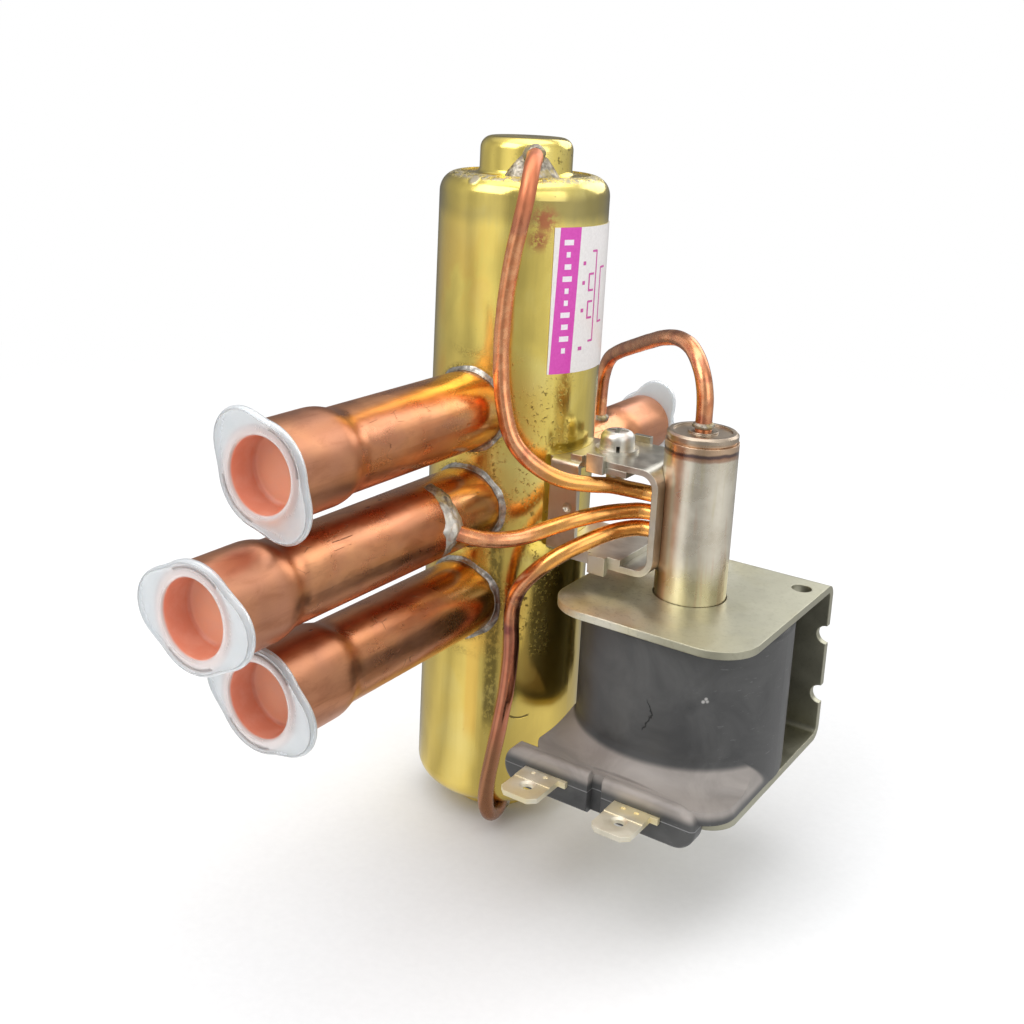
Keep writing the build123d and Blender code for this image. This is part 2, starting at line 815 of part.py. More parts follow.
# Pilot seat with three small ports, brazed inside the tube's left side
pilot_seat_x = pilot_offset + pilot_seat_face
seat_top = pilot_ports[0] + pilot_seat_margin
seat_bottom = pilot_ports[2] - pilot_seat_margin
with BuildPart() as pilot_seat:
    with BuildSketch(Plane.XY.offset(seat_bottom)):
        with Locations(pilot_middle):
            Circle(pilot_bore - seat_gap)
    extrude(amount=seat_top - seat_bottom)
    split(bisect_by=Plane(origin=(pilot_seat_x, 0, 0), z_dir=(1, 0, 0)), keep=Keep.BOTTOM)
    with BuildSketch(Plane.YZ.offset(pilot_seat_x)):
        with Locations(*[(0, height) for height in pilot_ports]):
            Circle(pilot_port_radius)
    extrude(amount=-pilot_radius, mode=Mode.SUBTRACT)
    with BuildSketch(Plane.YZ.offset(capillary_end)):
        with Locations(*[(0, height) for height in pilot_ports]):
            Circle(capillary_radius + seat_gap)
    extrude(amount=-pilot_radius, mode=Mode.SUBTRACT)

# Small slide that bridges two of the pilot ports
pilot_slide_x = pilot_seat_x + slide_gap
with BuildPart() as pilot_slide:
    with BuildSketch(Plane.YZ.offset(pilot_slide_x)):
        with Locations((0, pilot_slide_z)):
            Rectangle(2 * pilot_slide_half_width, 2 * pilot_slide_half_length)
    extrude(amount=pilot_slide_depth)
    with BuildSketch(Plane.YZ.offset(pilot_slide_x)):
        with Locations((0, pilot_slide_z)):
            SlotCenterToCenter(pilot_port_pitch, 2 * pilot_cavity_half_width, rotation=90)
    extrude(amount=pilot_cavity_depth, mode=Mode.SUBTRACT)

# Plunger: a round steel slug with a half-round carrier that holds the pilot slide
plunger_radius = pilot_bore - running_gap
window_floor_x = pilot_slide_x + pilot_slide_depth + carrier_floor
with BuildPart() as plunger:
    with BuildSketch(Plane.XY.offset(plunger_bottom)):
        with Locations(pilot_middle):
            Circle(plunger_radius)
    extrude(amount=plunger_top - plunger_bottom)
    with BuildSketch(Plane.XY.offset(plunger_top)):
        with Locations(pilot_middle):
            Circle(plunger_radius)
        with Locations((pilot_seat_x + carrier_gap - pilot_radius, 0)):
            Rectangle(2 * pilot_radius, 4 * pilot_radius, mode=Mode.SUBTRACT)
    extrude(amount=carrier_top - plunger_top)
    with BuildSketch(Plane.YZ.offset(window_floor_x)):
        with Locations((0, pilot_slide_z)):
            Rectangle(2 * (pilot_slide_half_width + slide_gap), 2 * (pilot_slide_half_length + slide_gap))
    extrude(amount=-2 * pilot_radius, mode=Mode.SUBTRACT)
    with BuildSketch(Plane.XY.offset(plunger_bottom)):
        with Locations(pilot_middle):
            Circle(spring_bore)
    extrude(amount=spring_seat_height - plunger_bottom, mode=Mode.SUBTRACT)

# Bowed leaf spring between the carrier and the pilot slide
leaf_start = pilot_slide_x + pilot_slide_depth + slide_gap
leaf_rise = carrier_floor - 2 * slide_gap - leaf_thickness
leaf_reach = pilot_slide_half_length - 2 * slide_gap
with BuildPart() as slide_spring:
    with BuildSketch(Plane(origin=(0, -pilot_slide_half_width / 2, 0), x_dir=(1, 0, 0), z_dir=(0, -1, 0))):
        with BuildLine():
            bow = ThreePointArc(
                (leaf_start, pilot_slide_z - leaf_reach),
                (leaf_start + leaf_rise, pilot_slide_z),
                (leaf_start, pilot_slide_z + leaf_reach),
            )
            bow_back = ThreePointArc(
                (leaf_start + leaf_thickness, pilot_slide_z - leaf_reach),
                (leaf_start + leaf_rise + leaf_thickness, pilot_slide_z),
                (leaf_start + leaf_thickness, pilot_slide_z + leaf_reach),
            )
            Line(bow @ 0, bow_back @ 0)
            Line(bow @ 1, bow_back @ 1)
        make_face()
    extrude(amount=-pilot_slide_half_width)

# Return spring between the fixed core and the plunger
spring_foot = core_top + spring_wire + slide_gap
spring_rise = spring_seat_height - slide_gap - spring_wire - spring_foot
with BuildPart() as plunger_spring:
    with BuildLine() as coil_path:
        Helix(
            pitch=spring_rise / spring_turns,
            height=spring_rise,
            radius=spring_radius,
            center=(pilot_offset, 0, spring_foot),
        )
    with BuildSketch(Plane(origin=coil_path.line @ 0, z_dir=coil_path.line % 0)):
        Circle(spring_wire)
    sweep(is_frenet=True)

# Yoke: one strip folded into a C round the coil
yoke_outline = [
    (-yoke_foot_front, yoke_bottom),
    (yoke_back, yoke_bottom),
    (yoke_back, yoke_top),
    (-yoke_front, yoke_top),
]
yoke_inline = [
    (-yoke_foot_front, yoke_floor),
    (yoke_back - yoke_thickness, yoke_floor),
    (yoke_back - yoke_thickness, yoke_top - yoke_thickness),
    (-yoke_front, yoke_top - yoke_thickness),
]
with BuildPart() as coil_yoke:
    with BuildSketch(Plane.YZ.offset(pilot_offset - yoke_half_width)):
        with BuildLine():
            FilletPolyline(*yoke_outline, radius=yoke_bend_radius)
            FilletPolyline(*yoke_inline, radius=yoke_bend_radius - yoke_thickness)
            Line(yoke_outline[0], yoke_inline[0])
            Line(yoke_outline[-1], yoke_inline[-1])
        make_face()
    extrude(amount=2 * yoke_half_width)
    front_corners = coil_yoke.edges().filter_by(Axis.Z).filter_by(lambda edge: edge.center().Y < 0)
    fillet(front_corners.group_by(Axis.Z)[-1], yoke_top_corner)
    front_corners = coil_yoke.edges().filter_by(Axis.Z).filter_by(lambda edge: edge.center().Y < 0)
    fillet(front_corners.group_by(Axis.Z)[0], yoke_foot_corner)
    with BuildSketch(Plane.XY.offset(yoke_top)):
        with Locations(pilot_middle):
            Circle(pilot_radius + pilot_hole_gap)
        with Locations((small_hole_x, small_hole_y)):
            Circle(small_hole_radius)
    extrude(amount=-2 * yoke_thickness, mode=Mode.SUBTRACT)
    with BuildSketch(Plane.XY.offset(yoke_bottom)):
        with Locations(pilot_middle):
            Circle(coil_screw_radius + pilot_hole_gap)
    extrude(amount=2 * yoke_thickness, mode=Mode.SUBTRACT)
    with BuildSketch(Plane.XZ.offset(-yoke_back)):
        for step in (-1, 1):
            with Locations((pilot_offset + yoke_half_width, notch_height + step * notch_spacing / 2)):
                Circle(notch_radius)
    extrude(amount=2 * yoke_thickness, mode=Mode.SUBTRACT)

# Coil: a moulded cover over a spool and its winding. A flared apron joins it to the terminal block
tab_spots = [(tab_first_x, tab_level), (tab_first_x + tab_spacing, tab_level)]
bobbin_top = coil_top - coil_end_wall
bobbin_bottom = coil_bottom + coil_end_wall
block_middle = (block_left + block_right) / 2
block_top = apron_top + block_lip
block_back = yoke_foot_front + coil_clearance
shoulder_x = apron_half_width - shoulder_width
coil_plane = Plane(origin=(pilot_offset, 0, 0), x_dir=(1, 0, 0), z_dir=(0, -1, 0))
with BuildPart() as coil_apron:
    with BuildSketch(coil_plane):
        with BuildLine():
            flare = CenterArc((coil_radius + flare_radius, flare_top), flare_radius, 180, 90)
            Polyline(
                flare @ 1,
                (apron_half_width + block_front, apron_top),
                (apron_half_width + block_front, coil_bottom),
                (coil_bore, coil_bottom),
                (coil_bore, flare_top),
                flare @ 0,
            )
        make_face()
    revolve(axis=Axis((pilot_offset, 0, 0), (0, 0, 1)))
    with BuildSketch(coil_plane):
        with BuildLine():
            Line((apron_half_width, coil_bottom), (-apron_half_width, coil_bottom))
            left = EllipticalCenterArc((-shoulder_x, coil_bottom), shoulder_width, shoulder_height, 90, arc_size=90)
            right = EllipticalCenterArc((shoulder_x, coil_bottom), shoulder_width, shoulder_height, 0, arc_size=90)
            Line(left @ 0, right @ 1)
        make_face()
    extrude(amount=apron_front, mode=Mode.INTERSECT)
    with BuildSketch(Plane.XY.offset(coil_bottom)):
        with Locations(pilot_middle):
            RectangleRounded(2 * apron_half_width, 2 * apron_front, apron_corner)
    extrude(amount=shoulder_height, mode=Mode.INTERSECT)

with BuildPart() as coil_body:
    with BuildSketch(Plane.XY.offset(coil_bottom)):
        with Locations(pilot_middle):
            Circle(coil_radius)
    extrude(amount=coil_top - coil_bottom)
    fillet(coil_body.faces().sort_by(Axis.Z)[-1].edges(), coil_edge)
    add(coil_apron.part)
    with BuildSketch(Plane.XZ.offset(block_back)):
        with Locations((block_middle, (block_top + block_bottom) / 2)):
            SlotOverall(block_right - block_left, block_top - block_bottom)
    extrude(amount=block_front - block_back)
    fillet(coil_body.faces().sort_by(Axis.Y)[0].edges(), block_edge)
    with BuildSketch(Plane.XY.offset(apron_top)):
        with Locations((block_middle, -(block_back + block_front - block_lip_width) / 2)):
            Rectangle(block_right - block_left, block_front - block_lip_width - block_back)
    extrude(amount=2 * block_lip, mode=Mode.SUBTRACT)
    with BuildSketch(Plane.XY.offset(block_bottom)):
        with Locations((block_middle, -block_front)):
            Rectangle(block_notch_width, 2 * block_notch_depth)
    extrude(amount=block_top - block_bottom, mode=Mode.SUBTRACT)
    with BuildSketch(Plane.XZ.offset(block_front)):
        for tab_x, tab_z in tab_spots:
            with Locations((tab_x + tab_shoulder / 2, tab_z + tab_step / 2)):
                Rectangle(tab_width + tab_shoulder + 2 * seat_gap, tab_thickness + tab_step + 2 * seat_gap)
    extrude(amount=tab_root - seat_gap - block_front, mode=Mode.SUBTRACT)
    with BuildSketch(Plane.XY.offset(bobbin_bottom)):
        with Locations(pilot_middle):
            Circle(bobbin_flange_radius + seat_gap)
    extrude(amount=bobbin_top - bobbin_bottom, mode=Mode.SUBTRACT)
    with BuildSketch(Plane.XY.offset(coil_bottom)):
        with Locations(pilot_middle):
            Circle(coil_bore)
    extrude(amount=coil_top - coil_bottom, mode=Mode.SUBTRACT)

with BuildPart() as coil_bobbin:
    with BuildSketch(Plane.XY.offset(bobbin_bottom + seat_gap)):
        with Locations(pilot_middle):
            Circle(bobbin_flange_radius)
            Circle(coil_bore, mode=Mode.SUBTRACT)
    extrude(amount=bobbin_top - bobbin_bottom - 2 * seat_gap)
    with BuildSketch(Plane.XY.offset(bobbin_bottom + bobbin_wall)):
        with Locations(pilot_middle):
            Circle(bobbin_flange_radius)
            Circle(coil_bore + bobbin_wall, mode=Mode.SUBTRACT)
    extrude(amount=bobbin_top - bobbin_bottom - 2 * bobbin_wall, mode=Mode.SUBTRACT)

with BuildPart() as coil_winding:
    with BuildSketch(Plane.XY.offset(bobbin_bottom + bobbin_wall + seat_gap)):
        with Locations(pilot_middle):
            Circle(winding_radius)
            Circle(coil_bore + bobbin_wall + seat_gap, mode=Mode.SUBTRACT)
    extrude(amount=bobbin_top - bobbin_bottom - 2 * bobbin_wall - 2 * seat_gap)

# Tab terminals: a thicker shouldered root, a blade with a dimpled hole and two marks of the press tool
with BuildPart() as coil_terminals:
    for tab_x, tab_z in tab_spots:
        left = tab_x - tab_width / 2
        right = tab_x + tab_width / 2
        tab_bottom = tab_z - tab_thickness / 2
        tab_top = tab_z + tab_thickness / 2
        root_middle = (tab_x + tab_shoulder / 2, -(tab_root + tab_shoulder_y) / 2)
        with BuildSketch(Plane.XY.offset(tab_bottom)):
            with BuildLine():
                Polyline(
                    (left, -tab_root),
                    (left, -tab_reach + tab_corner),
                    (left + tab_corner, -tab_reach),
                    (right - tab_corner, -tab_reach),
                    (right, -tab_reach + tab_corner),
                    (right, -tab_root),
                    (left, -tab_root),
                )
            make_face()
            with Locations(root_middle):
                Rectangle(tab_width + tab_shoulder, tab_shoulder_y - tab_root)
        extrude(amount=tab_thickness)
        with BuildSketch(Plane.XY.offset(tab_top)):
            with Locations((tab_x, -(tab_root + tab_step_y) / 2)):
                Rectangle(tab_width, tab_step_y - tab_root)
            with Locations(root_middle):
                Rectangle(tab_width + tab_shoulder, tab_shoulder_y - tab_root)
        extrude(amount=tab_step)
        with Locations((tab_x, -tab_hole_y, tab_top)):
            CounterSinkHole(tab_hole_radius, tab_dimple_radius, tab_thickness, tab_dimple_deg)
        with BuildSketch(Plane.XY.offset(tab_top + tab_step)):
            with Locations((tab_x, -tab_dot_y)):
                with GridLocations(tab_dot_spacing, 0, 2, 1):
                    Circle(tab_dot_radius)
        extrude(amount=-tab_dot_depth, mode=Mode.SUBTRACT)

with BuildPart() as coil_washer:
    with BuildSketch(Plane.XY.offset(yoke_bottom)):
        with Locations(pilot_middle):
            Circle(coil_washer_radius)
            Circle(coil_screw_radius + pilot_hole_gap, mode=Mode.SUBTRACT)
    extrude(amount=-coil_washer_thickness)

coil_screw_seat = yoke_bottom - coil_washer_thickness
with BuildPart() as coil_screw:
    with BuildSketch(Plane.XY.offset(coil_screw_seat)):
        with Locations(pilot_middle):
            RegularPolygon(coil_screw_head_radius, 6, major_radius=False)
    extrude(amount=-coil_screw_head)
    with BuildSketch(Plane.XY.offset(coil_screw_seat)):
        with Locations(pilot_middle):
            Circle(coil_screw_radius)
    extrude(amount=coil_screw_length)

# Body bracket: one folded sheet. Two arms brazed to the body, a cheek that ties them, and four hooks
arm_under = clamp_top - strip_thickness
arm_over = clamp_bottom + strip_thickness
sheet_face = bracket_half_width + strip_thickness
relief_middle = (cheek_end + top_hook_x - hook_width / 2) / 2
relief_width = top_hook_x - hook_width / 2 - cheek_end
with BuildPart() as body_bracket:
    with BuildSketch(Plane.XZ.offset(-bracket_half_width)):
        for bottom, top in ((arm_under, clamp_top), (clamp_bottom, arm_over)):
            with Locations((bracket_arm_end / 2, (bottom + top) / 2)):
                Rectangle(bracket_arm_end, top - bottom)
    extrude(amount=2 * bracket_half_width)
    with BuildSketch(Plane.XZ.offset(bracket_half_width)):
        with Locations(((cheek_start + cheek_end) / 2, (clamp_top + clamp_bottom) / 2)):
            Rectangle(cheek_end - cheek_start, clamp_top - clamp_bottom)
    extrude(amount=strip_thickness)
    fold_edges = body_bracket.edges().filter_by(Axis.X).filter_by(
        lambda edge: edge.center().Y < fold_gap - sheet_face and edge.length < bracket_half_width
    )
    fillet(fold_edges, cheek_round)
    for hook_x, side, bottom in (
        (top_hook_x, 1, arm_under),
        (back_hook_x, -1, arm_under),
        (low_hook_x, 1, arm_over - hook_height),
        (back_hook_x, -1, arm_over - hook_height),
    ):
        with BuildSketch(Plane.XZ.offset(side * bracket_half_width)):
            with Locations((hook_x, bottom + hook_height / 2)):
                Rectangle(hook_width, hook_height)
        extrude(amount=side * strip_thickness)
    Cylinder(body_radius + seat_gap, body_height, mode=Mode.SUBTRACT)
    with BuildSketch(Plane.XY.offset(clamp_top)):
        with Locations((screw_x, 0)):
            Circle(screw_radius + seat_gap)
        with Locations((relief_middle, -bracket_half_width)):
            Rectangle(relief_width, 2 * relief_depth)
    extrude(amount=-strip_thickness, mode=Mode.SUBTRACT)
    with Locations((dimple_x, -sheet_face - dimple_radius / 2, dimple_z)):
        Sphere(dimple_radius, mode=Mode.SUBTRACT)

# Pilot bracket: a U-shaped strip outside it, its wall coined into a trough that seats the pilot tube
strap_top = [(pilot_bracket_start, bracket_top), (pilot_bracket_face, bracket_top)]
strap_foot = [(pilot_bracket_face, bracket_bottom), (pilot_bracket_start, bracket_bottom)]
inner_face = pilot_bracket_face - strip_thickness
inner_top = [(pilot_bracket_start, clamp_top), (inner_face, clamp_top)]
inner_foot = [(inner_face, clamp_bottom), (pilot_bracket_start, clamp_bottom)]
trough_bore = pilot_radius + seat_gap
trough_back = pilot_offset - trough_bore - strip_thickness
with BuildPart() as pilot_bracket:
    with BuildSketch(Plane.XZ.offset(-bracket_half_width + fold_gap)):
        with BuildLine():
            FilletPolyline(*strap_top, *strap_foot, radius=pilot_bracket_bend)
            FilletPolyline(*inner_top, *inner_foot, radius=pilot_bracket_bend - strip_thickness)
            Line(strap_top[0], inner_top[0])
            Line(strap_foot[-1], inner_foot[-1])
        make_face()
    extrude(amount=2 * (bracket_half_width - fold_gap))
    with BuildSketch(Plane.XY.offset(clamp_bottom)):
        with Locations(pilot_middle):
            Circle(trough_bore + strip_thickness)
        with Locations((inner_face + pilot_offset, 0)):
            Rectangle(2 * pilot_offset, 4 * pilot_radius, mode=Mode.SUBTRACT)
    extrude(amount=clamp_top - clamp_bottom)
    with Locations((pilot_offset, 0, 0)):
        Cylinder(trough_bore, body_height, mode=Mode.SUBTRACT)
    with BuildSketch(Plane.YZ.offset(trough_back - strip_thickness)):
        with Locations(*[(0, height) for height in pilot_ports]):
            Circle(capillary_radius + seat_gap)
    extrude(amount=3 * strip_thickness, mode=Mode.SUBTRACT)
    with BuildSketch(Plane.XY.offset(bracket_top)):
        with Locations((screw_x, 0)):
            Circle(screw_radius + pilot_hole_gap)
        with Locations((relief_middle, -bracket_half_width)):
            Rectangle(relief_width, 2 * relief_depth)
    extrude(amount=-strip_thickness, mode=Mode.SUBTRACT)

# Screw and washers that clamp the two brackets
with BuildPart() as flat_washer:
    with BuildSketch(Plane.XY.offset(bracket_top)):
        with Locations((screw_x, 0)):
            Circle(flat_washer_radius)
            Circle(screw_radius + pilot_hole_gap, mode=Mode.SUBTRACT)
    extrude(amount=flat_washer_thickness)

spring_washer_seat = bracket_top + flat_washer_thickness
with BuildPart() as spring_washer:
    with BuildSketch(Plane.XY.offset(spring_washer_seat)):
        with Locations((screw_x, 0)):
            Circle(spring_washer_radius)
            Circle(screw_radius + pilot_hole_gap, mode=Mode.SUBTRACT)
        with Locations((screw_x + spring_washer_radius / 2, -spring_washer_radius)):
            Rectangle(spring_washer_split, 2 * spring_washer_radius, mode=Mode.SUBTRACT)
    extrude(amount=spring_washer_thickness)

head_seat = spring_washer_seat + spring_washer_thickness
with BuildPart() as bracket_screw:
    with BuildSketch(Plane.XY.offset(head_seat)):
        with Locations((screw_x, 0)):
            Circle(screw_head_radius)
    extrude(amount=screw_head)
    fillet(bracket_screw.faces().sort_by(Axis.Z)[-1].edges(), screw_head_round)
    with BuildSketch(Plane.XY.offset(head_seat)):
        with Locations((screw_x, 0)):
            Circle(screw_radius)
    extrude(amount=-screw_length)
    with BuildSketch(Plane.XY.offset(head_seat + screw_head)):
        with Locations((screw_x, 0)):
            Rectangle(screw_recess_length, screw_recess_width, rotation=screw_recess_turn_deg)
            Rectangle(screw_recess_width, screw_recess_length, rotation=screw_recess_turn_deg)
    extrude(amount=-screw_recess_depth, mode=Mode.SUBTRACT)

for name, route in (
    ("top_capillary", top_route),
    ("bottom_capillary", bottom_route),
    ("suction_capillary", suction_route),
    ("discharge_capillary", discharge_route),
):
    print(name, "bend radii", [round(radius, 1) for radius in bend_radii(route)])

pieces = {
    "body_tube": body_tube,
    "top_end_cap": top_end_cap,
    "bottom_end_cap": bottom_end_cap,
    "evaporator_pipe": evaporator_pipe,
    "suction_pipe": suction_pipe,
    "condenser_pipe": condenser_pipe,
    "discharge_pipe": discharge_pipe,
    "braze_rings": braze_rings,
    "top_capillary": top_capillary,
    "bottom_capillary": bottom_capillary,
    "suction_capillary": suction_capillary,
    "discharge_capillary": discharge_capillary,
    "capillary_saddle": capillary_saddle,
    "body_bracket": body_bracket,
    "pilot_bracket": pilot_bracket,
    "bracket_screw": bracket_screw,
    "spring_washer": spring_washer,
    "flat_washer": flat_washer,
    "pilot_tube": pilot_tube,
    "pilot_plug": pilot_plug,
    "coil_yoke": coil_yoke,
    "coil_body": coil_body,
    "coil_terminals": coil_terminals,
    "label": label,
    "evaporator_cap": evaporator_cap,
    "suction_cap": suction_cap,
    "condenser_cap": condenser_cap,
    "discharge_cap": discharge_cap,
    "valve_seat": valve_seat,
    "slide_block": slide_block,
    "slide_frame": slide_frame,
    "upper_piston": upper_piston,
    "lower_piston": lower_piston,
    "upper_seal": upper_seal,
    "lower_seal": lower_seal,
    "seal_retainers": seal_retainers,
    "piston_screws": piston_screws,
    "pilot_seat": pilot_seat,
    "pilot_slide": pilot_slide,
    "plunger": plunger,
    "slide_spring": slide_spring,
    "plunger_spring": plunger_spring,
    "fixed_core": fixed_core,
    "coil_screw": coil_screw,
    "coil_washer": coil_washer,
    "coil_bobbin": coil_bobbin,
    "coil_winding": coil_winding,
}
for piece_name, piece in pieces.items():
    piece.part.label = piece_name
    export_step(piece.part, f"parts/{piece_name}.step")
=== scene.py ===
from math import cos, exp, log1p, pi, radians, sin, sqrt

import bmesh
import bpy
from mathutils import Matrix, Vector, noise


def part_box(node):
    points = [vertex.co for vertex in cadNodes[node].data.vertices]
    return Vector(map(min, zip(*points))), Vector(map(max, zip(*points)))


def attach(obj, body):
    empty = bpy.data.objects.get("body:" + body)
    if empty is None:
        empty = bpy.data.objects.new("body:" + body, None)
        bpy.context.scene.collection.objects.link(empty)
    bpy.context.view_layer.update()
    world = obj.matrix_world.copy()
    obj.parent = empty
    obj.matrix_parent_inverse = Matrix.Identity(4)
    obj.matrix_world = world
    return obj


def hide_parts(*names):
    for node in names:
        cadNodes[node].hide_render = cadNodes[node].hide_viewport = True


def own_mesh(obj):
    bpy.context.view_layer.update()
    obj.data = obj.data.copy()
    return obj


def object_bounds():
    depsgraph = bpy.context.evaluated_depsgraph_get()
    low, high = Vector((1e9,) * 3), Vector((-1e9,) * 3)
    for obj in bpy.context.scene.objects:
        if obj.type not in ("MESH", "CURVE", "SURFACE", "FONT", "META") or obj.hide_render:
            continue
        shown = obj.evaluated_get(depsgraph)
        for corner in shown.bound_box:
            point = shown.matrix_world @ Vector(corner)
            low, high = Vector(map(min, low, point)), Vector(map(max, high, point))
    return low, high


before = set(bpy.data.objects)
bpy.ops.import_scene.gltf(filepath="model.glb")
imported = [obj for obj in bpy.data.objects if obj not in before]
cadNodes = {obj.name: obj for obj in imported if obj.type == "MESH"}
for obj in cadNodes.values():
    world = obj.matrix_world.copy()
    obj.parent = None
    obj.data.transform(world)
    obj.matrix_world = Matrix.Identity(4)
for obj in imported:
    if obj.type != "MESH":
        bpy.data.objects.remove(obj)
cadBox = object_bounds()
scene = bpy.context.scene
mm = 0.001
print("frame loaded:", len(cadNodes), "CAD nodes")


# Colours are written as screen values from 0 to 255
def tone(color):
    shares = [value / 255 for value in color]
    return (*[share / 12.92 if share <= 0.04045 else ((share + 0.055) / 1.055) ** 2.4 for share in shares], 1)


class NodeBench:
    # Short names for the node work that every material and the room share
    def __init__(self, tree):
        self.tree = tree

    def plug(self, node, feeds):
        for socket, value in feeds.items():
            if isinstance(value, bpy.types.NodeSocket):
                self.tree.links.new(value, node.inputs[socket])
            else:
                node.inputs[socket].default_value = value

    def add(self, kind, feeds=None, **settings):
        node = self.tree.nodes.new("ShaderNode" + kind)
        for key, value in settings.items():
            setattr(node, key, value)
        self.plug(node, feeds or {})
        return node

    def calc(self, operation, *values):
        return self.add("Math", dict(enumerate(values)), operation=operation).outputs[0]

    def both(self, first, *others):
        for other in others:
            first = self.calc("MULTIPLY", first, other)
        return first

    def plus(self, first, second):
        return self.calc("ADD", first, second)

    def minus(self, first, second):
        return self.calc("SUBTRACT", first, second)

    def most(self, first, second):
        return self.calc("MAXIMUM", first, second)

    def away(self, value, middle):
        return self.calc("ABSOLUTE", self.minus(value, middle))

    def length(self, first, second):
        return self.calc("SQRT", self.plus(self.both(first, first), self.both(second, second)))

    def fade(self, value, start, end, low=0.0, high=1.0, kind="SMOOTHSTEP"):
        feeds = {"Value": value, "From Min": start, "From Max": end, "To Min": low, "To Max": high}
        return self.add("MapRange", feeds, interpolation_type=kind).outputs[0]

    def band(self, value, middle, half, soft):
        return self.fade(self.away(value, middle), half + soft, half)

    def ramp(self, factor, *stops):
        node = self.add("ValToRGB", {0: factor})
        marks = node.color_ramp.elements
        while len(marks) < len(stops):
            marks.new(0.5)
        for mark, (position, color) in zip(marks, stops):
            mark.position, mark.color = position, color
        return node.outputs[0]

    def mix(self, factor, first, second):
        # 6 and 7 are the node's colour inputs and 2 its colour output
        return self.add("Mix", {0: factor, 6: first, 7: second}, data_type="RGBA").outputs[2]

    def rays(self):
        # Is the ray looking straight at something, and is it a mirrored one
        path = self.add("LightPath").outputs
        return self.most(path["Is Camera Ray"], path["Is Transmission Ray"]), path["Is Glossy Ray"]


class Finish(NodeBench):
    # A material. Its coordinates are millimetres in the frame, so marks land where the real ones are.
    def __init__(self, name, look=None, **sockets):
        self.look = look
        self.material = bpy.data.materials.new(name)
        self.material.use_nodes = True
        super().__init__(self.material.node_tree)
        self.shader = self.tree.nodes["Principled BSDF"]
        self.feed(**sockets)
        coords = self.add("TexCoord").outputs["Object"]
        scaled = self.add("VectorMath", {0: coords, "Scale": 1 / mm}, operation="SCALE")
        self.place = scaled.outputs[0]
        self.x, self.y, self.z = self.add("SeparateXYZ", {0: self.place}).outputs

    def spot(self, stretch):
        return self.add("Mapping", {"Vector": self.place, "Scale": stretch}).outputs[0]

    def cloud(self, scale, detail=3.0, rough=0.55, stretch=(1, 1, 1), twist=0.0):
        feeds = {"Scale": scale, "Detail": detail, "Roughness": rough, "Distortion": twist}
        return self.add("TexNoise", {"Vector": self.spot(stretch), **feeds}).outputs["Fac"]

    def cells(self, scale, stretch=(1, 1, 1), feature="F1"):
        feeds = {"Vector": self.spot(stretch), "Scale": scale}
        return self.add("TexVoronoi", feeds, feature=feature).outputs["Distance"]

    def near(self, point, inside, outside):
        # 1 within a distance of a point, fading to 0
        away = self.add("VectorMath", {0: self.place, 1: point}, operation="DISTANCE")
        return self.fade(away.outputs["Value"], outside, inside)

    def ground(self, pattern, *stops):
        # The base colour, from the look's colours along a pattern
        self.base = self.ramp(pattern, *[(position, tone(self.look[color])) for position, color in stops])

    def paint(self, color, *amounts):
        self.base = self.mix(self.both(*amounts), self.base, tone(self.look[color]))

    def vary(self, pattern, low, high):
        # Noise lies mostly between 0.3 and 0.7
        return self.fade(pattern, 0.3, 0.7, low, high)

    def dents(self, *layers, edge=0.0):
        # Each layer is a height and its depth in millimetres; edge rounds the sharp edges by that radius
        normal = None
        if edge:
            normal = self.add("Bevel", {"Radius": edge * mm}, samples=6).outputs[0]
        for height, depth in layers:
            feeds = {"Height": height, "Strength": 1.0, "Distance": depth * mm}
            if normal:
                feeds["Normal"] = normal
            normal = self.add("Bump", feeds).outputs[0]
        self.feed(Normal=normal)

    def feed(self, **sockets):
        self.plug(self.shader, {socket.replace("_", " "): value for socket, value in sockets.items()})

    def done(self, rough, *layers, edge=0.0):
        self.feed(Base_Color=self.base, Roughness=rough)
        self.dents(*layers, edge=edge)
        return self.material


# Brass of the body and its end caps: drawn tube, smooth and satin, with heat tint near the brazed pipes.
# Places are millimetres in the frame; a spot's two distances are where it is full and where it ends.
brassLook = {
    "pale": (248, 234, 152), "gold": (240, 216, 116), "olive": (212, 190, 102),
    "dull": (214, 180, 96), "amber": (226, 178, 84), "stain": (96, 82, 44),
    "shade": (150, 138, 92), "flux": (168, 160, 146), "rust": (190, 112, 84),
    "pipeSpacing": 16.0, "shoulder": 50.2, "glow": ((-4.5, -13.2, 38.0), 4.0, 13.0),
    "warmBand": (3.0, -32.0), "reflectedShadeBand": 6.0, "seamRadius": 11.5, "bossRadius": 7.6,
    "rustSpots": [((9.9, -9.6, 46.7), 0.6, 3.2), ((9.4, -10.1, 43.8), 0.4, 2.6)],
    "drip": ((-1.4, -12.4, 52.1), 0.6, 1.2),
    "gouge": {"across": 10.0, "height": -36.2, "bow": 0.35},
}


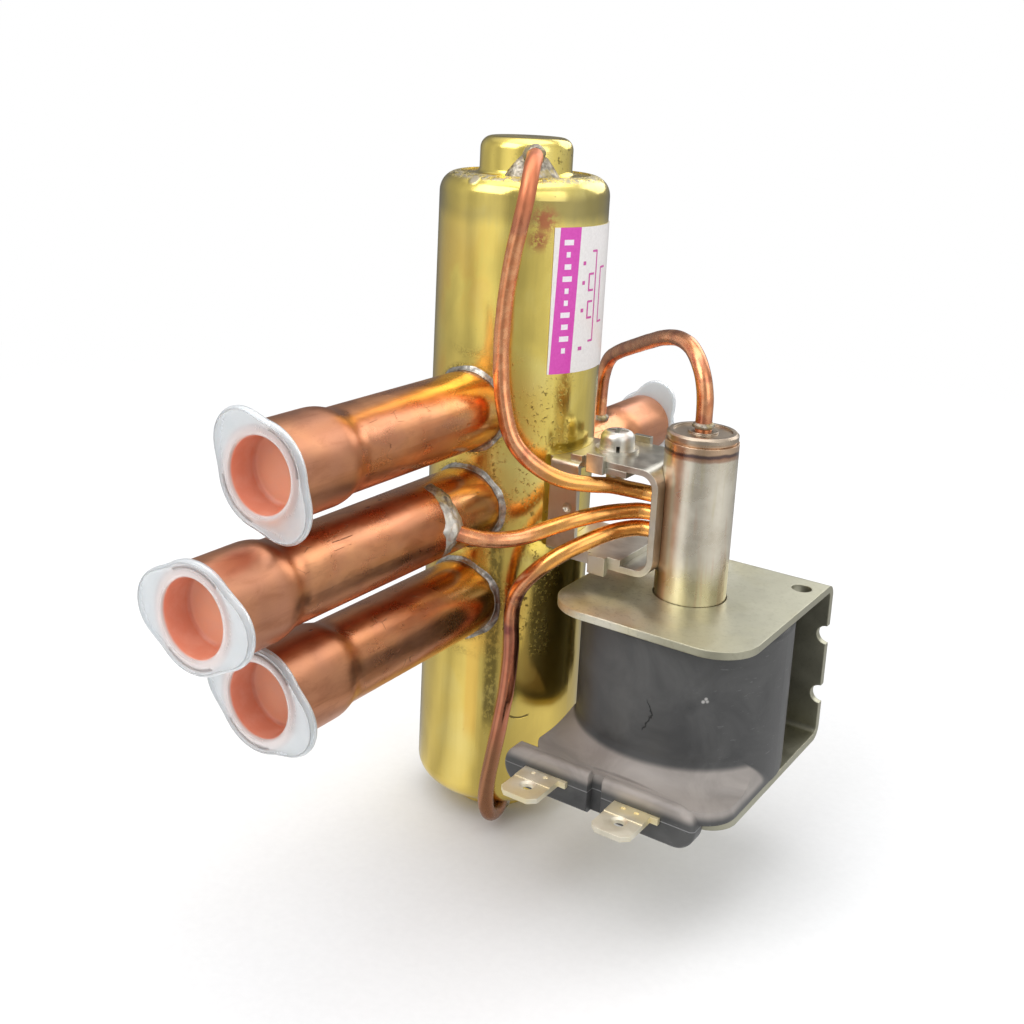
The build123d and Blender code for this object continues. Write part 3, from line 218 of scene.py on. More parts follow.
def brassShell():
    look = brassLook
    f = Finish("brassShell", look, Metallic=1.0)
    broad = f.cloud(0.05, 3, 0.5)
    cloudy = f.cloud(0.18, 3, 0.5, stretch=(1, 1, 0.5), twist=0.3)
    drawn = f.cloud(1.0, 3, 0.6, stretch=(1.6, 1.6, 0.04))
    fine = f.cloud(3.4, 3, 0.65)
    mottle = f.plus(f.both(broad, 0.6), f.both(cloudy, 0.4))
    f.ground(mottle, (0.32, "olive"), (0.5, "gold"), (0.68, "pale"))
    f.paint("olive", f.fade(drawn, 0.5, 0.75, 0, 0.2))
    f.paint("dull", f.fade(f.plus(f.z, f.both(cloudy, 12.0)), 10, -20, 0, 0.4))

    # Heat tint round the pipes and above them, and a dark band under the shoulder
    half = look["pipeSpacing"] / 2
    fromPipe = f.length(f.x, f.calc("WRAP", f.z, half, -half))
    front = f.both(f.fade(f.y, -2, -6), f.fade(f.away(f.z, 0.0), 27, 23))
    heat = f.both(f.fade(fromPipe, 13.0, 8.0), front)
    f.paint("amber", heat, f.fade(cloudy, 0.35, 0.6, 0.1, 0.7))
    f.paint("amber", f.near(*look["glow"]), f.fade(cloudy, 0.4, 0.6, 0.0, 0.45))
    shoulder = f.band(f.plus(f.z, f.both(cloudy, 3.0)), look["shoulder"], 0.8, 2.6)
    shoulder = f.both(shoulder, f.fade(broad, 0.35, 0.6, 0.25, 0.75))
    f.paint("shade", shoulder)

    # Splashes of flux round the pipes, speckles between them, a few specks all over
    speckle = f.fade(f.cloud(1.5, 4, 0.75), 0.55, 0.64)
    between = f.both(f.fade(f.x, 1.5, 6.5), front, f.fade(f.cloud(0.3, 3, stretch=(1, 1, 0.5)), 0.42, 0.55))
    splash = f.fade(f.plus(fromPipe, f.both(fine, 2.2)), 9.3, 8.0)
    dirt = f.most(f.both(speckle, between), f.both(splash, front, f.fade(fine, 0.42, 0.6)))
    dirt = f.most(dirt, f.both(f.fade(f.cloud(0.9, 4, 0.7), 0.69, 0.74), 0.6))
    f.paint("stain", dirt, 0.8)

    # An amber band up the lower front, a dark speckled band beside the capillary that is a painted reflection
    # of the capillary and painted shade, and rust near the top
    facing = f.fade(f.y, -8, -10)
    warmAcross, warmHeight = look["warmBand"]
    warm = f.both(f.band(f.x, warmAcross, 0.7, 0.8), facing, f.band(f.z, warmHeight, 6.0, 4.0))
    f.paint("amber", warm, 0.5)
    lower = f.both(f.fade(f.z, -40, -35), f.fade(f.z, 2, -5))
    reflectedShade = f.both(f.band(f.x, look["reflectedShadeBand"], 0.5, 0.9), facing, lower)
    reflectedShade = f.both(reflectedShade, f.fade(f.cloud(1.2, 4, 0.75, stretch=(1, 1, 0.6)), 0.36, 0.56, 0.35, 0.95))
    # The dark band beside the capillary is painted reflection and painted shade, in the stain colour
    f.paint("stain", reflectedShade, 0.8)
    rust = f.most(*[f.near(*spot) for spot in look["rustSpots"]])
    f.paint("rust", rust, f.fade(f.cloud(0.8, 4, 0.7), 0.36, 0.52), 0.9)

    # Grey seam and drip on the rim, stains on the boss, a curved gouge low on the front
    radius = f.length(f.x, f.y)
    seam = f.both(f.fade(f.away(f.z, 0.0), 51.2, 51.9), f.band(radius, look["seamRadius"], 0.6, 0.8))
    grey = f.most(f.both(seam, f.fade(f.cloud(0.8, 4, 0.7), 0.42, 0.54)), f.near(*look["drip"]))
    f.paint("flux", grey, 0.9)
    edge = f.band(radius, look["bossRadius"], 0.6, 0.8)
    boss = f.both(f.fade(f.z, 53.5, 54.5), edge, f.fade(f.x, 1.0, 6.0))
    f.paint("stain", boss, f.fade(f.cloud(0.7, 4, 0.7), 0.55, 0.64, 0, 0.7))
    cut = look["gouge"]
    across = f.minus(f.x, cut["across"])
    arc = f.plus(f.both(across, across, cut["bow"]), cut["height"])
    reach = f.both(f.band(f.x, cut["across"], 0.9, 0.4), f.fade(f.y, -4, -6))
    gouge = f.both(f.fade(f.away(f.z, arc), 0.26, 0.08), reach)
    f.paint("stain", gouge, 0.85)

    rough = f.plus(f.vary(cloudy, 0.15, 0.22), f.both(f.most(dirt, grey), 0.3))
    waves = f.cloud(0.09, 2, 0.4, stretch=(1, 1, 0.45))
    layers = [(waves, 0.6), (cloudy, 0.02), (drawn, 0.01), (fine, 0.004)]
    return f.done(rough, *layers, (grey, 0.1), (dirt, 0.02), (gouge, -0.08))


# Copper stubs: orange and gold with heat near the body, partly a painted highlight and painted reflection of
# the brass body, rosy and duller at the expanded socket.
# Each pipe gives its heading along Y and how far out its neck lies.
copperLook = {
    "bright": (232, 168, 122), "mid": (214, 144, 102), "rose": (202, 142, 112),
    "gold": (246, 204, 120), "flameTintAndReflection": (226, 124, 68), "dark": (172, 108, 76),
    "ink": (110, 68, 52),
    "pipes": {
        "evaporator_pipe": ("evaporatorCopper", -1, 48.0),
        "suction_pipe": ("suctionCopper", -1, 60.0),
        "condenser_pipe": ("condenserCopper", -1, 48.0),
        "discharge_pipe": ("dischargeCopper", 1, 35.6),
    },
}


def copperPipe(name, heading, neck):
    f = Finish(name, copperLook, Metallic=1.0)
    out = f.both(f.y, heading)
    broad = f.cloud(0.09, 2, 0.5)
    cloudy = f.cloud(0.28, 3, 0.5, stretch=(1, 0.6, 1), twist=0.3)
    grainy = f.cloud(2.6, 4, 0.7)
    drawn = f.cloud(1.0, 3, 0.6, stretch=(2.0, 0.06, 2.0))
    socket = f.fade(f.plus(out, f.both(broad, 6.0)), neck + 1.5, neck + 7.5)
    heat = f.fade(f.minus(out, f.both(broad, 16.0)), 24, 4)
    f.ground(cloudy, (0.3, "mid"), (0.7, "bright"))
    # Near the body: heat tint, with the gold partly a painted highlight and reflection of the brass body and
    # the flame orange partly a painted reflection
    f.paint("gold", heat, f.fade(cloudy, 0.25, 0.7, 0.4, 0.9))
    f.paint("flameTintAndReflection", heat, f.fade(broad, 0.47, 0.68, 0, 0.5))
    f.paint("rose", socket, f.fade(broad, 0.4, 0.6, 0.5, 0.9))
    f.paint("rose", f.fade(f.cloud(0.16, 3, 0.6, stretch=(1, 0.5, 1)), 0.46, 0.64, 0, 0.5))
    f.paint("dark", f.fade(f.cloud(0.5, 4, 0.6, stretch=(1, 0.35, 1), twist=0.5), 0.5, 0.72, 0, 0.35))
    f.paint("dark", f.band(out, neck, 1.2, 2.6), f.fade(broad, 0.35, 0.6, 0.15, 0.55))
    f.paint("dark", f.fade(drawn, 0.55, 0.8, 0, 0.25))
    f.paint("dark", f.fade(grainy, 0.55, 0.75, 0, 0.12))
    nick = f.both(f.fade(f.cells(0.36, (1, 0.45, 1)), 0.1, 0.05), f.fade(broad, 0.52, 0.57))
    scratch = f.fade(f.cells(0.3, (1.0, 0.5, 1.6), "DISTANCE_TO_EDGE"), 0.012, 0.004)
    worn = f.both(f.fade(f.cloud(0.35, 2), 0.56, 0.61), f.band(out, neck - 10, 6, 6))
    marks = f.most(nick, f.both(scratch, worn))
    f.paint("ink", marks, 0.5)
    rough = f.vary(cloudy, 0.26, 0.34)
    rough = f.plus(rough, f.plus(f.both(socket, 0.06), f.fade(grainy, 0.5, 0.75, 0, 0.08)))
    rough = f.plus(rough, f.both(heat, -0.1))
    waves = f.cloud(0.1, 1)
    return f.done(rough, (waves, 0.35), (cloudy, 0.01), (drawn, 0.004), (grainy, 0.0015), (marks, -0.04))


# Capillary tubes: orange at the boss, pinkish heat tints on the way, gold near the pilot valve
capillaryLook = {
    "shade": (220, 142, 98), "light": (238, 172, 126), "gold": (240, 174, 92),
    "plum": (176, 106, 86), "violet": (120, 64, 66), "foot": (146, 108, 76),
    "top": (218, 134, 96), "smear": (128, 78, 60),
}


def copperCapillary():
    f = Finish("copperCapillary", capillaryLook, Metallic=1.0)
    broad = f.cloud(0.1, 3, 0.6)
    cloudy = f.cloud(0.7, 4, 0.6)
    f.ground(cloudy, (0.35, "shade"), (0.62, "light"))
    gold = f.both(f.fade(f.x, 12, 17), f.fade(f.away(f.z, 2.0), 12, 8))
    f.paint("gold", gold, 0.8)
    plum = f.fade(broad, 0.52, 0.6, 0, 0.6)
    low = f.fade(f.z, -12, -22, 0, 0.75)
    f.paint("plum", f.most(plum, low), f.fade(gold, 0.8, 0.2))
    f.paint("violet", f.band(f.z, -17.0, 4.0, 4.0), f.fade(f.cloud(0.3, 2), 0.4, 0.6, 0.2, 0.8))
    foot = f.fade(f.z, -34, -42, 0, 0.7)
    f.paint("foot", foot)
    top = f.fade(f.plus(f.z, f.both(cloudy, 6.0)), 48, 54)
    f.paint("top", top, 0.85)
    smear = f.fade(f.cloud(1.4, 4, 0.75), 0.62, 0.72, 0, 0.35)
    f.paint("smear", smear)
    rough = f.plus(f.vary(cloudy, 0.22, 0.3), f.both(top, 0.2))
    rough = f.plus(rough, f.plus(f.both(low, -0.08), f.both(foot, 0.12)))
    return f.done(rough, (f.cloud(0.4, 1), 0.05), (cloudy, 0.006), (smear, -0.005))


# Silver braze of the rings, lumpy, with flux stains; duller and rougher filler at the capillaries' joints
brazeLook = {"shade": (120, 114, 108), "light": (190, 186, 178), "stain": (128, 108, 76)}
fillerLook = {
    "shade": (112, 104, 92), "light": (188, 180, 166), "stain": (190, 170, 96),
    "fresh": (226, 222, 214), "freshSpot": ((5.4, -25.9, 0.4), 2.2, 4.4),
}


def brazeMetal():
    f = Finish("brazeMetal", brazeLook, Metallic=1.0)
    lumps = f.cloud(0.8, 4, 0.65)
    f.ground(lumps, (0.34, "shade"), (0.6, "light"))
    f.paint("stain", f.fade(f.cloud(0.45, 4, 0.7), 0.5, 0.66, 0, 0.6))
    return f.done(f.vary(lumps, 0.48, 0.24), (lumps, 0.14), (f.cloud(2.6, 3), 0.03))


def fillerMetal():
    f = Finish("fillerMetal", fillerLook, Metallic=1.0)
    lumps = f.cloud(1.1, 5, 0.7)
    f.ground(lumps, (0.36, "shade"), (0.62, "light"))
    f.paint("stain", f.fade(f.cloud(0.7, 3), 0.5, 0.64, 0, 0.5))
    f.paint("fresh", f.near(*fillerLook["freshSpot"]), 0.75)
    return f.done(f.vary(lumps, 0.56, 0.34), (lumps, 0.2), (f.cloud(3.5, 3), 0.04))


# Bracket, screws and tabs share one recipe for plated metal
platedLooks = {
    "bracketSteel": {
        "light": (212, 209, 198), "dark": (172, 168, 156), "tint": (196, 188, 166),
        "grain": (1.2, 0.4, 1.2), "rough": 0.33, "edge": 0.15,
    },
    "platedScrews": {
        "light": (232, 230, 224), "dark": (200, 196, 186), "tint": (226, 216, 186),
        "grain": (1, 1, 3), "rough": 0.38, "edge": 0.0,
    },
    "terminalTin": {
        "light": (248, 243, 228), "dark": (228, 220, 198), "tint": (246, 232, 184),
        "grain": (0.6, 1.5, 1.5), "rough": 0.6, "edge": 0.08,
    },
}


def platedMetal(name):
    look = platedLooks[name]
    f = Finish(name, look, Metallic=1.0)
    cloudy = f.cloud(0.22, 4, 0.6, twist=0.3)
    fine = f.cloud(1.0, 3, 0.6, stretch=look["grain"])
    f.ground(cloudy, (0.3, "dark"), (0.7, "light"))
    f.paint("tint", f.fade(f.cloud(0.1, 2), 0.46, 0.66, 0, 0.7))
    f.paint("dark", f.fade(fine, 0.5, 0.78, 0, 0.15))
    rough = f.vary(cloudy, look["rough"] - 0.04, look["rough"] + 0.06)
    return f.done(rough, (cloudy, 0.015), (fine, 0.004), (f.cloud(0.12, 2), 0.12), edge=look["edge"])


# Yoke: plated sheet that greys away from the body
yokeLook = {
    "light": (232, 229, 212), "dark": (214, 210, 192), "straw": (220, 212, 172),
    "haze": (168, 166, 146), "specks": (150, 146, 126),
}


def yokeSteel():
    f = Finish("yokeSteel", yokeLook, Metallic=1.0)
    cloudy = f.cloud(0.22, 4, 0.6, twist=0.3)
    fine = f.cloud(1.4, 4, 0.7)
    f.ground(cloudy, (0.3, "dark"), (0.7, "light"))
    f.paint("straw", f.fade(f.cloud(0.1, 2), 0.46, 0.66, 0, 0.6))
    f.paint("haze", f.fade(f.plus(f.x, f.both(cloudy, 8.0)), 32, 46, 0, 0.85))
    f.paint("specks", f.fade(fine, 0.5, 0.68, 0, 0.3))
    rough = f.vary(cloudy, 0.36, 0.46)
    return f.done(rough, (cloudy, 0.015), (fine, 0.006), (f.cloud(0.12, 2), 0.12), edge=0.25)


# Pilot tube: satin stainless with a burn line under the welded plug, straw tints up its side and a painted
# pink reflection on its lower part
pilotLook = {
    "light": (232, 225, 208), "shade": (212, 203, 184), "foot": (222, 212, 166),
    "pink": (206, 158, 130), "straw": (206, 194, 146), "scorch": (190, 148, 112),
    "burn": (72, 58, 68), "ember": (150, 92, 62), "plug": (172, 160, 144),
    "pinkReflectionBand": 31.6, "burnLine": 14.05, "emberLine": 13.55, "plugFrom": 15.0,
}


def pilotSteel():
    look = pilotLook
    f = Finish("pilotSteel", look, Metallic=1.0)
    cloudy = f.cloud(0.2, 3, 0.6)
    streak = f.cloud(1.0, 3, 0.6, stretch=(0.4, 0.4, 0.03))
    rings = f.cloud(1.0, 3, 0.6, stretch=(0.06, 0.06, 3.0))
    f.ground(cloudy, (0.35, "shade"), (0.62, "light"))
    height = f.plus(f.z, f.both(cloudy, 2.4))
    f.paint("foot", f.fade(height, -1, -8, 0, 0.6))
    # A pink band down the left-front side is a painted reflection; pink streaks join it on the lower part of
    # the tube
    side = f.both(f.fade(f.y, -3.6, -4.6), f.band(f.x, look["pinkReflectionBand"], 0.5, 0.9))
    f.paint("pink", f.most(f.fade(streak, 0.52, 0.62, 0, 0.4), side), f.fade(height, 15, 10, 0.0, 0.7))
    f.paint("straw", f.fade(streak, 0.46, 0.36), 0.3)
    line = f.plus(f.z, f.cloud(0.25, 2))
    f.paint("scorch", f.fade(line, 13.1, 14.3, 0, 0.7))
    f.paint("burn", f.band(line, look["burnLine"], 0.12, 0.35), 0.85)
    f.paint("ember", f.band(line, look["emberLine"], 0.1, 0.4), 0.6)
    f.paint("plug", f.fade(f.z, look["plugFrom"], look["plugFrom"] + 0.6, 0, 0.8))
    waves = f.cloud(0.16, 2, stretch=(1, 1, 0.25))
    return f.done(f.vary(cloudy, 0.25, 0.34), (rings, 0.006), (cloudy, 0.02), (waves, 0.12), edge=0.2)


# Black moulding: satin, with flow marks, dust, a short crack and chips; its apron has gone grey
coilLook = {
    "black": (60, 60, 60), "worn": (79, 79, 78), "apron": (164, 156, 149),
    "parting": (150, 150, 150), "crackFill": (16, 16, 16), "dust": (168, 166, 162),
    "scuff": (122, 122, 122),
    "axis": 34.5, "apronFrom": 16.7, "apronTop": -30.0, "apronFoot": -35.9, "partingHeight": -36.6,
    "crack": {"middle": (36.9, -16.4, -24.1), "tip": 38.0, "height": -23.6, "slant": -0.4, "wander": 1.4},
    "chips": [(44.3, -13.2, -20.0), (44.0, -13.45, -20.45), (44.45, -13.05, -20.4)],
}


def coilMoulding():
    look = coilLook
    f = Finish("coilMoulding", look, Specular_IOR_Level=0.4)
    cloudy = f.cloud(0.1, 4, 0.6, twist=0.8)
    fine = f.cloud(3.0, 3)
    f.ground(cloudy, (0.34, "black"), (0.66, "worn"))
    radius = f.length(f.minus(f.x, look["axis"]), f.y)
    apron = f.fade(radius, look["apronFrom"], look["apronFrom"] + 0.4)
    apron = f.both(apron, f.fade(f.z, look["apronFoot"], look["apronFoot"] + 1.4))
    height = f.plus(f.z, f.both(cloudy, 2.0))
    apron = f.both(apron, f.fade(height, look["apronTop"] + 1.6, look["apronTop"] - 0.4))
    f.paint("apron", apron, f.vary(cloudy, 0.6, 0.9))
    parting = f.both(f.band(f.z, look["partingHeight"], 0.02, 0.1), f.fade(f.y, -18.7, -19.2))
    f.paint("parting", parting, 0.6)

    # The crack bends at its height, and wanders a little
    split = look["crack"]
    bend = f.both(f.away(f.z, split["height"]), split["slant"])
    across = f.plus(f.x, f.both(f.cloud(0.9, 3), split["wander"]))
    crack = f.fade(f.away(across, f.plus(split["tip"], bend)), 0.2, 0.06)
    crack = f.both(crack, f.near(split["middle"], 2.2, 2.9), f.fade(f.y, -9, -10))
    f.paint("crackFill", crack, 0.85)
    dust = f.both(f.fade(f.cloud(1.0, 5, 0.8), 0.68, 0.74), 0.35)
    for chip in look["chips"]:
        dust = f.most(dust, f.near(chip, 0.15, 0.4))
    f.paint("dust", dust)
    scuff = f.fade(f.cloud(0.8, 4, 0.75, stretch=(0.5, 0.5, 2.5)), 0.62, 0.7)
    f.paint("scuff", scuff, f.fade(f.x, 38, 50, 0, 0.4))
    layers = [(f.cloud(0.08, 3), 0.1), (cloudy, 0.04), (fine, 0.006), (crack, -0.05), (parting, 0.06)]
    return f.done(f.vary(cloudy, 0.36, 0.48), *layers, edge=0.3)


# Label: glossy white paper with a magenta stripe; angles in degrees round the body
labelLook = {
    "paperDark": (226, 222, 220), "paperLight": (238, 235, 233),
    "stripeDark": (206, 60, 170), "stripeLight": (216, 76, 182),
    "stripeFrom": -34.6, "stripeTo": -18.2, "middle": 34.0, "lean": 0.12,
}


def labelPaper():
    look = labelLook
    f = Finish("labelPaper", look, Coat_Weight=0.3, Coat_Roughness=0.1)
    fibre = f.cloud(2.2, 4, 0.7)
    f.ground(fibre, (0.3, "paperDark"), (0.7, "paperLight"))
    angle = f.both(f.calc("ARCTAN2", f.y, f.x), 180 / pi)
    angle = f.minus(angle, f.both(f.minus(f.z, look["middle"]), look["lean"]))
    start, end = look["stripeFrom"], look["stripeTo"]
    stripe = f.both(f.fade(angle, start, start + 0.3), f.fade(angle, end, end - 0.3))
    ink = f.ramp(fibre, (0.3, tone(look["stripeDark"])), (0.7, tone(look["stripeLight"])))
    f.base = f.mix(stripe, f.base, ink)
    return f.done(f.vary(fibre, 0.3, 0.4), (fibre, 0.008), (f.cloud(0.2, 2), 0.03))


def labelInk(name, look):
    f = Finish(name, look)
    f.ground(f.cloud(3, 3), (0.35, "dark"), (0.65, "light"))
    return f.done(0.4, (f.cloud(6, 2), 0.002))


# Soft translucent plastic; the cup lies against the copper and takes its colour through the thin wall, with
# its wall painted darker and its floor lighter as painted shade and light
capLook = {
    "hazeDark": (182, 192, 198), "hazeLight": (202, 209, 213), "blush": (226, 202, 194),
    "rim": (216, 220, 222), "cupFloorLit": (234, 162, 130), "cupWallShade": (214, 132, 102),
    "cupMist": (224, 162, 138), "clearness": 0.45,
}


def capPlastic(name, cap, size):
    look = capLook
    f = Finish(name, look, IOR=1.45, Subsurface_Weight=0.6, Subsurface_Scale=0.0025)
    f.feed(Subsurface_Radius=(1.0, 0.9, 0.8))
    opening, thick = size["opening"], size["thick"]
    out = f.minus(f.both(f.y, cap["heading"]), cap["reach"])
    radius = f.length(f.x, f.minus(f.z, cap["height"]))
    haze = f.cloud(0.22, 3, 0.6)
    f.ground(haze, (0.35, "hazeDark"), (0.65, "hazeLight"))
    f.paint("blush", f.fade(radius, size["plug"] + 1.4, opening + 0.4, 0, 0.8))
    f.paint("rim", f.fade(radius, size["flange"] - 1.0, size["flange"] - 0.4), 0.5)
    cup = f.fade(radius, opening + 0.12, opening - 0.02)
    cup = f.both(cup, f.fade(out, thick - 0.02, thick - 0.3))
    # Cup wall painted darker and cup floor lighter: painted shade and painted light that even out the cup's
    # shading
    flesh = f.mix(f.fade(radius, opening - 0.6, opening - 0.2), tone(look["cupFloorLit"]), tone(look["cupWallShade"]))
    flesh = f.mix(f.fade(f.cloud(0.3, 4, 0.6), 0.4, 0.65, 0, 0.4), flesh, tone(look["cupMist"]))
    f.base = f.mix(cup, f.base, flesh)
    f.feed(Transmission_Weight=f.fade(cup, 0.0, 1.0, look["clearness"], 0.0))
    return f.done(f.vary(haze, 0.34, 0.46), (f.cloud(0.5, 3), 0.03), (f.cloud(4, 2), 0.004))


# Inner metals and plastics, hidden in the assembled valve
innerLooks = {
    "seatBrass": {"light": (222, 196, 110), "dark": (170, 140, 70), "metal": 1.0, "rough": 0.28},
    "slideNylon": {"light": (226, 222, 208), "dark": (196, 190, 172), "metal": 0.0, "rough": 0.45},
    "slideSteel": {"light": (200, 198, 192), "dark": (140, 138, 132), "metal": 1.0, "rough": 0.3},
    "sealPtfe": {"light": (226, 226, 222), "dark": (204, 204, 198), "metal": 0.0, "rough": 0.4},
    "windingWire": {"light": (196, 96, 50), "dark": (128, 56, 30), "metal": 1.0, "rough": 0.35},
}


def innerPart(name, grain=(1, 1, 4)):
    look = innerLooks[name]
    f = Finish(name, look, Metallic=look["metal"])
    cloudy = f.cloud(0.5, 4, 0.6)
    fine = f.cloud(1.5, 3, 0.6, stretch=grain)
    f.ground(cloudy, (0.35, "dark"), (0.65, "light"))
    f.paint("dark", f.fade(fine, 0.5, 0.8, 0, 0.4))
    rough = f.vary(cloudy, look["rough"] - 0.05, look["rough"] + 0.1)
    return f.done(rough, (fine, 0.01), (cloudy, 0.02))


# Which CAD nodes wear which finish; the caps get theirs with their shells
capillaryCopper = copperCapillary()
braze = brazeMetal()
filler = fillerMetal()
slideSteel = innerPart("slideSteel")
nodesOfFinish = [
    (brassShell(), ["body_tube", "top_end_cap", "bottom_end_cap"]),
    (braze, ["braze_rings"]),
    (filler, ["capillary_saddle"]),
    (platedMetal("bracketSteel"), ["body_bracket", "pilot_bracket"]),
    (platedMetal("platedScrews"), [
        "bracket_screw", "spring_washer", "flat_washer", "coil_screw", "coil_washer", "piston_screws",
    ]),
    (platedMetal("terminalTin"), ["coil_terminals"]),
    (pilotSteel(), ["pilot_tube", "pilot_plug", "fixed_core", "plunger"]),
    (yokeSteel(), ["coil_yoke"]),
    (coilMoulding(), ["coil_body"]),
    (labelPaper(), ["label"]),
    (innerPart("seatBrass"), ["valve_seat", "pilot_seat"]),
    (innerPart("slideNylon"), ["slide_block", "pilot_slide", "coil_bobbin"]),
    (slideSteel, [
        "slide_frame", "upper_piston", "lower_piston", "seal_retainers", "slide_spring", "plunger_spring",
    ]),
    (innerPart("sealPtfe"), ["upper_seal", "lower_seal"]),
    (innerPart("windingWire", (0.3, 0.3, 5)), ["coil_winding"]),
]
nodesOfFinish += [(copperPipe(*facts), [pipe]) for pipe, facts in copperLook["pipes"].items()]


def dress(nodeName, finish):
    slots = cadNodes[nodeName].data.materials
    slots.clear()
    slots.append(finish)


for finish, nodeNames in nodesOfFinish:
    for nodeName in nodeNames:
        dress(nodeName, finish)
print("finishes:", len(nodesOfFinish))


def addObject(name, data):
    thing = bpy.data.objects.new(name, data)
    scene.collection.objects.link(thing)
    return thing


# Mesh helpers. Points are millimetres.
def addMesh(name, points, faces, finish):
    mesh = bpy.data.meshes.new(name)
    mesh.from_pydata([Vector(point) * mm for point in points], [], faces)
    mesh.materials.append(finish)
    return addObject(name, mesh)


def turns(count):
    return [2 * pi * step / count for step in range(count)]


def spaced(start, end, steps):
    return [start + (end - start) * step / steps for step in range(steps + 1)]


def polar(radius, angle):
    return radius * cos(angle), radius * sin(angle)


def skin(rings, loop=False):
    # Joins rings of equal count; open ends are closed by fans at their middles
    count = len(rings[0])
    points = [point for ring in rings for point in ring]
    faces = []
    pairs = len(rings) if loop else len(rings) - 1
    for row in range(pairs):
        here, there = row * count, (row + 1) % len(rings) * count
        for side in range(count):
            after = (side + 1) % count
            faces.append((here + side, here + after, there + after, there + side))
    if not loop:
        for ring, start, flip in ((rings[0], 0, True), (rings[-1], len(points) - count, False)):
            middle = len(points)
            points.append(sum((Vector(point) for point in ring), Vector()) / count)
            for side in range(count):
                face = (start + side, start + (side + 1) % count, middle)
                faces.append(face[::-1] if flip else face)
    return points, faces


def addPiece(name, patches, finish, body, standsFor=(), loop=False):
    # One mesh from the skins of one or more sets of rings
    points, faces = [], []
    for rings in patches:
        patchPoints, patchFaces = skin(rings, loop)
        start = len(points)
        points += patchPoints
        faces += [tuple(start + corner for corner in face) for face in patchFaces]
    piece = addMesh(name, points, faces, finish)
    piece.data.shade_smooth()
    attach(piece, body)
    if standsFor:
        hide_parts(*standsFor)
    return piece


# Capillary tubes: the same bends as the solids, smooth, a little out of round where they were bent
capillaries = {
    "radius": 1.3, "sides": 20, "bendSteps": 10, "dents": 0.035, "dentScale": 0.35,
    "routes": {
        "top_capillary": [
            (4.07, -4.68, 56.3), (6.3, -7.25, 56.3), (8.7, -12.0, 55.3), (9.6, -14.2, 52.0),
            (9.0, -14.6, 47.6), (7.9, -14.9, 41.9), (7.1, -15.1, 35.5), (6.9, -15.4, 29.2),
            (7.2, -15.6, 23.3), (8.3, -15.8, 17.4), (10.0, -15.6, 12.6), (13.3, -14.0, 9.2),
            (17.0, -11.5, 7.1), (20.0, -8.4, 6.5), (22.2, -4.9, 6.0), (24.0, -1.9, 5.0),
            (26.2, 0, 4.4), (30.85, 0, 4.4),
        ],
        "bottom_capillary": [
            (4.07, -4.68, -54.6), (6.3, -7.25, -54.6), (7.4, -12.6, -53.9), (7.7, -14.8, -50.6),
            (7.9, -14.8, -46.2), (8.6, -14.3, -40.8), (9.3, -13.7, -35.0), (9.9, -13.2, -29.2),
            (10.2, -13.0, -22.3), (9.9, -13.3, -16.2), (11.3, -14.2, -11.6), (14.4, -14.3, -7.6),
            (17.6, -11.9, -4.6), (20.4, -8.6, -2.7), (22.4, -5.0, -1.7), (24.2, -1.9, -1.4),
            (26.2, 0, -1.4), (30.85, 0, -1.4),
        ],
        "suction_capillary": [
            (5.35, -25.9, 0.4), (8.1, -22.4, -1.5), (10.2, -18.2, -2.4), (12.6, -15.1, -2.2),
            (15.5, -12.4, -0.7), (18.8, -9.7, 0.8), (20.9, -6.0, 1.3), (23.3, -2.5, 1.4),
            (26.0, 0, 1.5), (30.85, 0, 1.5),
        ],
        "discharge_capillary": [
            (0.1, 30.0, 4.96), (0.1, 30.0, 10.76), (0.6, 29.8, 14.6), (2.4, 28.2, 18.2), (6.3, 24.6, 20.6),
            (11.5, 20.3, 23.0), (17.2, 14.9, 25.6), (22.0, 10.4, 27.6), (26.2, 6.9, 28.6), (30.2, 3.3, 28.2),
            (33.0, 0.9, 25.7), (34.3, 0.1, 22.2), (34.5, 0, 18.6), (34.5, 0, 14.4),
        ],
    },
}


def smoothLine(route):
    curve = bpy.data.curves.new("bendLine", "CURVE")
    curve.dimensions = "3D"
    curve.resolution_u = capillaries["bendSteps"]
    spline = curve.splines.new("NURBS")
    spline.points.add(len(route) - 1)
    for spot, point in zip(spline.points, route):
        spot.co = (*point, 1.0)
    spline.order_u = 3
    spline.use_endpoint_u = True
    helper = bpy.data.objects.new("bendLine", curve)
    line = bpy.data.meshes.new_from_object(helper)
    points = [vertex.co.copy() for vertex in line.vertices]
    bpy.data.objects.remove(helper)
    bpy.data.curves.remove(curve)
    bpy.data.meshes.remove(line)
    return points


def tubeRings(line, radius, sides, dents):
    # The ring is carried along the line without twist
    ahead = (line[1] - line[0]).normalized()
    side = ahead.orthogonal().normalized()
    rings = []
    for index, here in enumerate(line):
        before, after = line[max(index - 1, 0)], line[min(index + 1, len(line) - 1)]
        turned = (after - before).normalized()
        side = ahead.rotation_difference(turned) @ side
        ahead = turned
        up = ahead.cross(side)
        ring = []
        for angle in turns(sides):
            arm = side * cos(angle) + up * sin(angle)
            wobble = noise.noise((here + arm * radius) * capillaries["dentScale"]) * dents
            ring.append(here + arm * (radius * (1 + wobble)))
        rings.append(ring)
    return rings


def addCapillary(name, route):
    rings = tubeRings(smoothLine(route), capillaries["radius"], capillaries["sides"], capillaries["dents"])
    addPiece(name + "_tube", [rings], capillaryCopper, "body", [name])


for capillaryName, capillaryRoute in capillaries["routes"].items():
    addCapillary(capillaryName, capillaryRoute)
print("capillary tubes:", len(capillaries["routes"]))


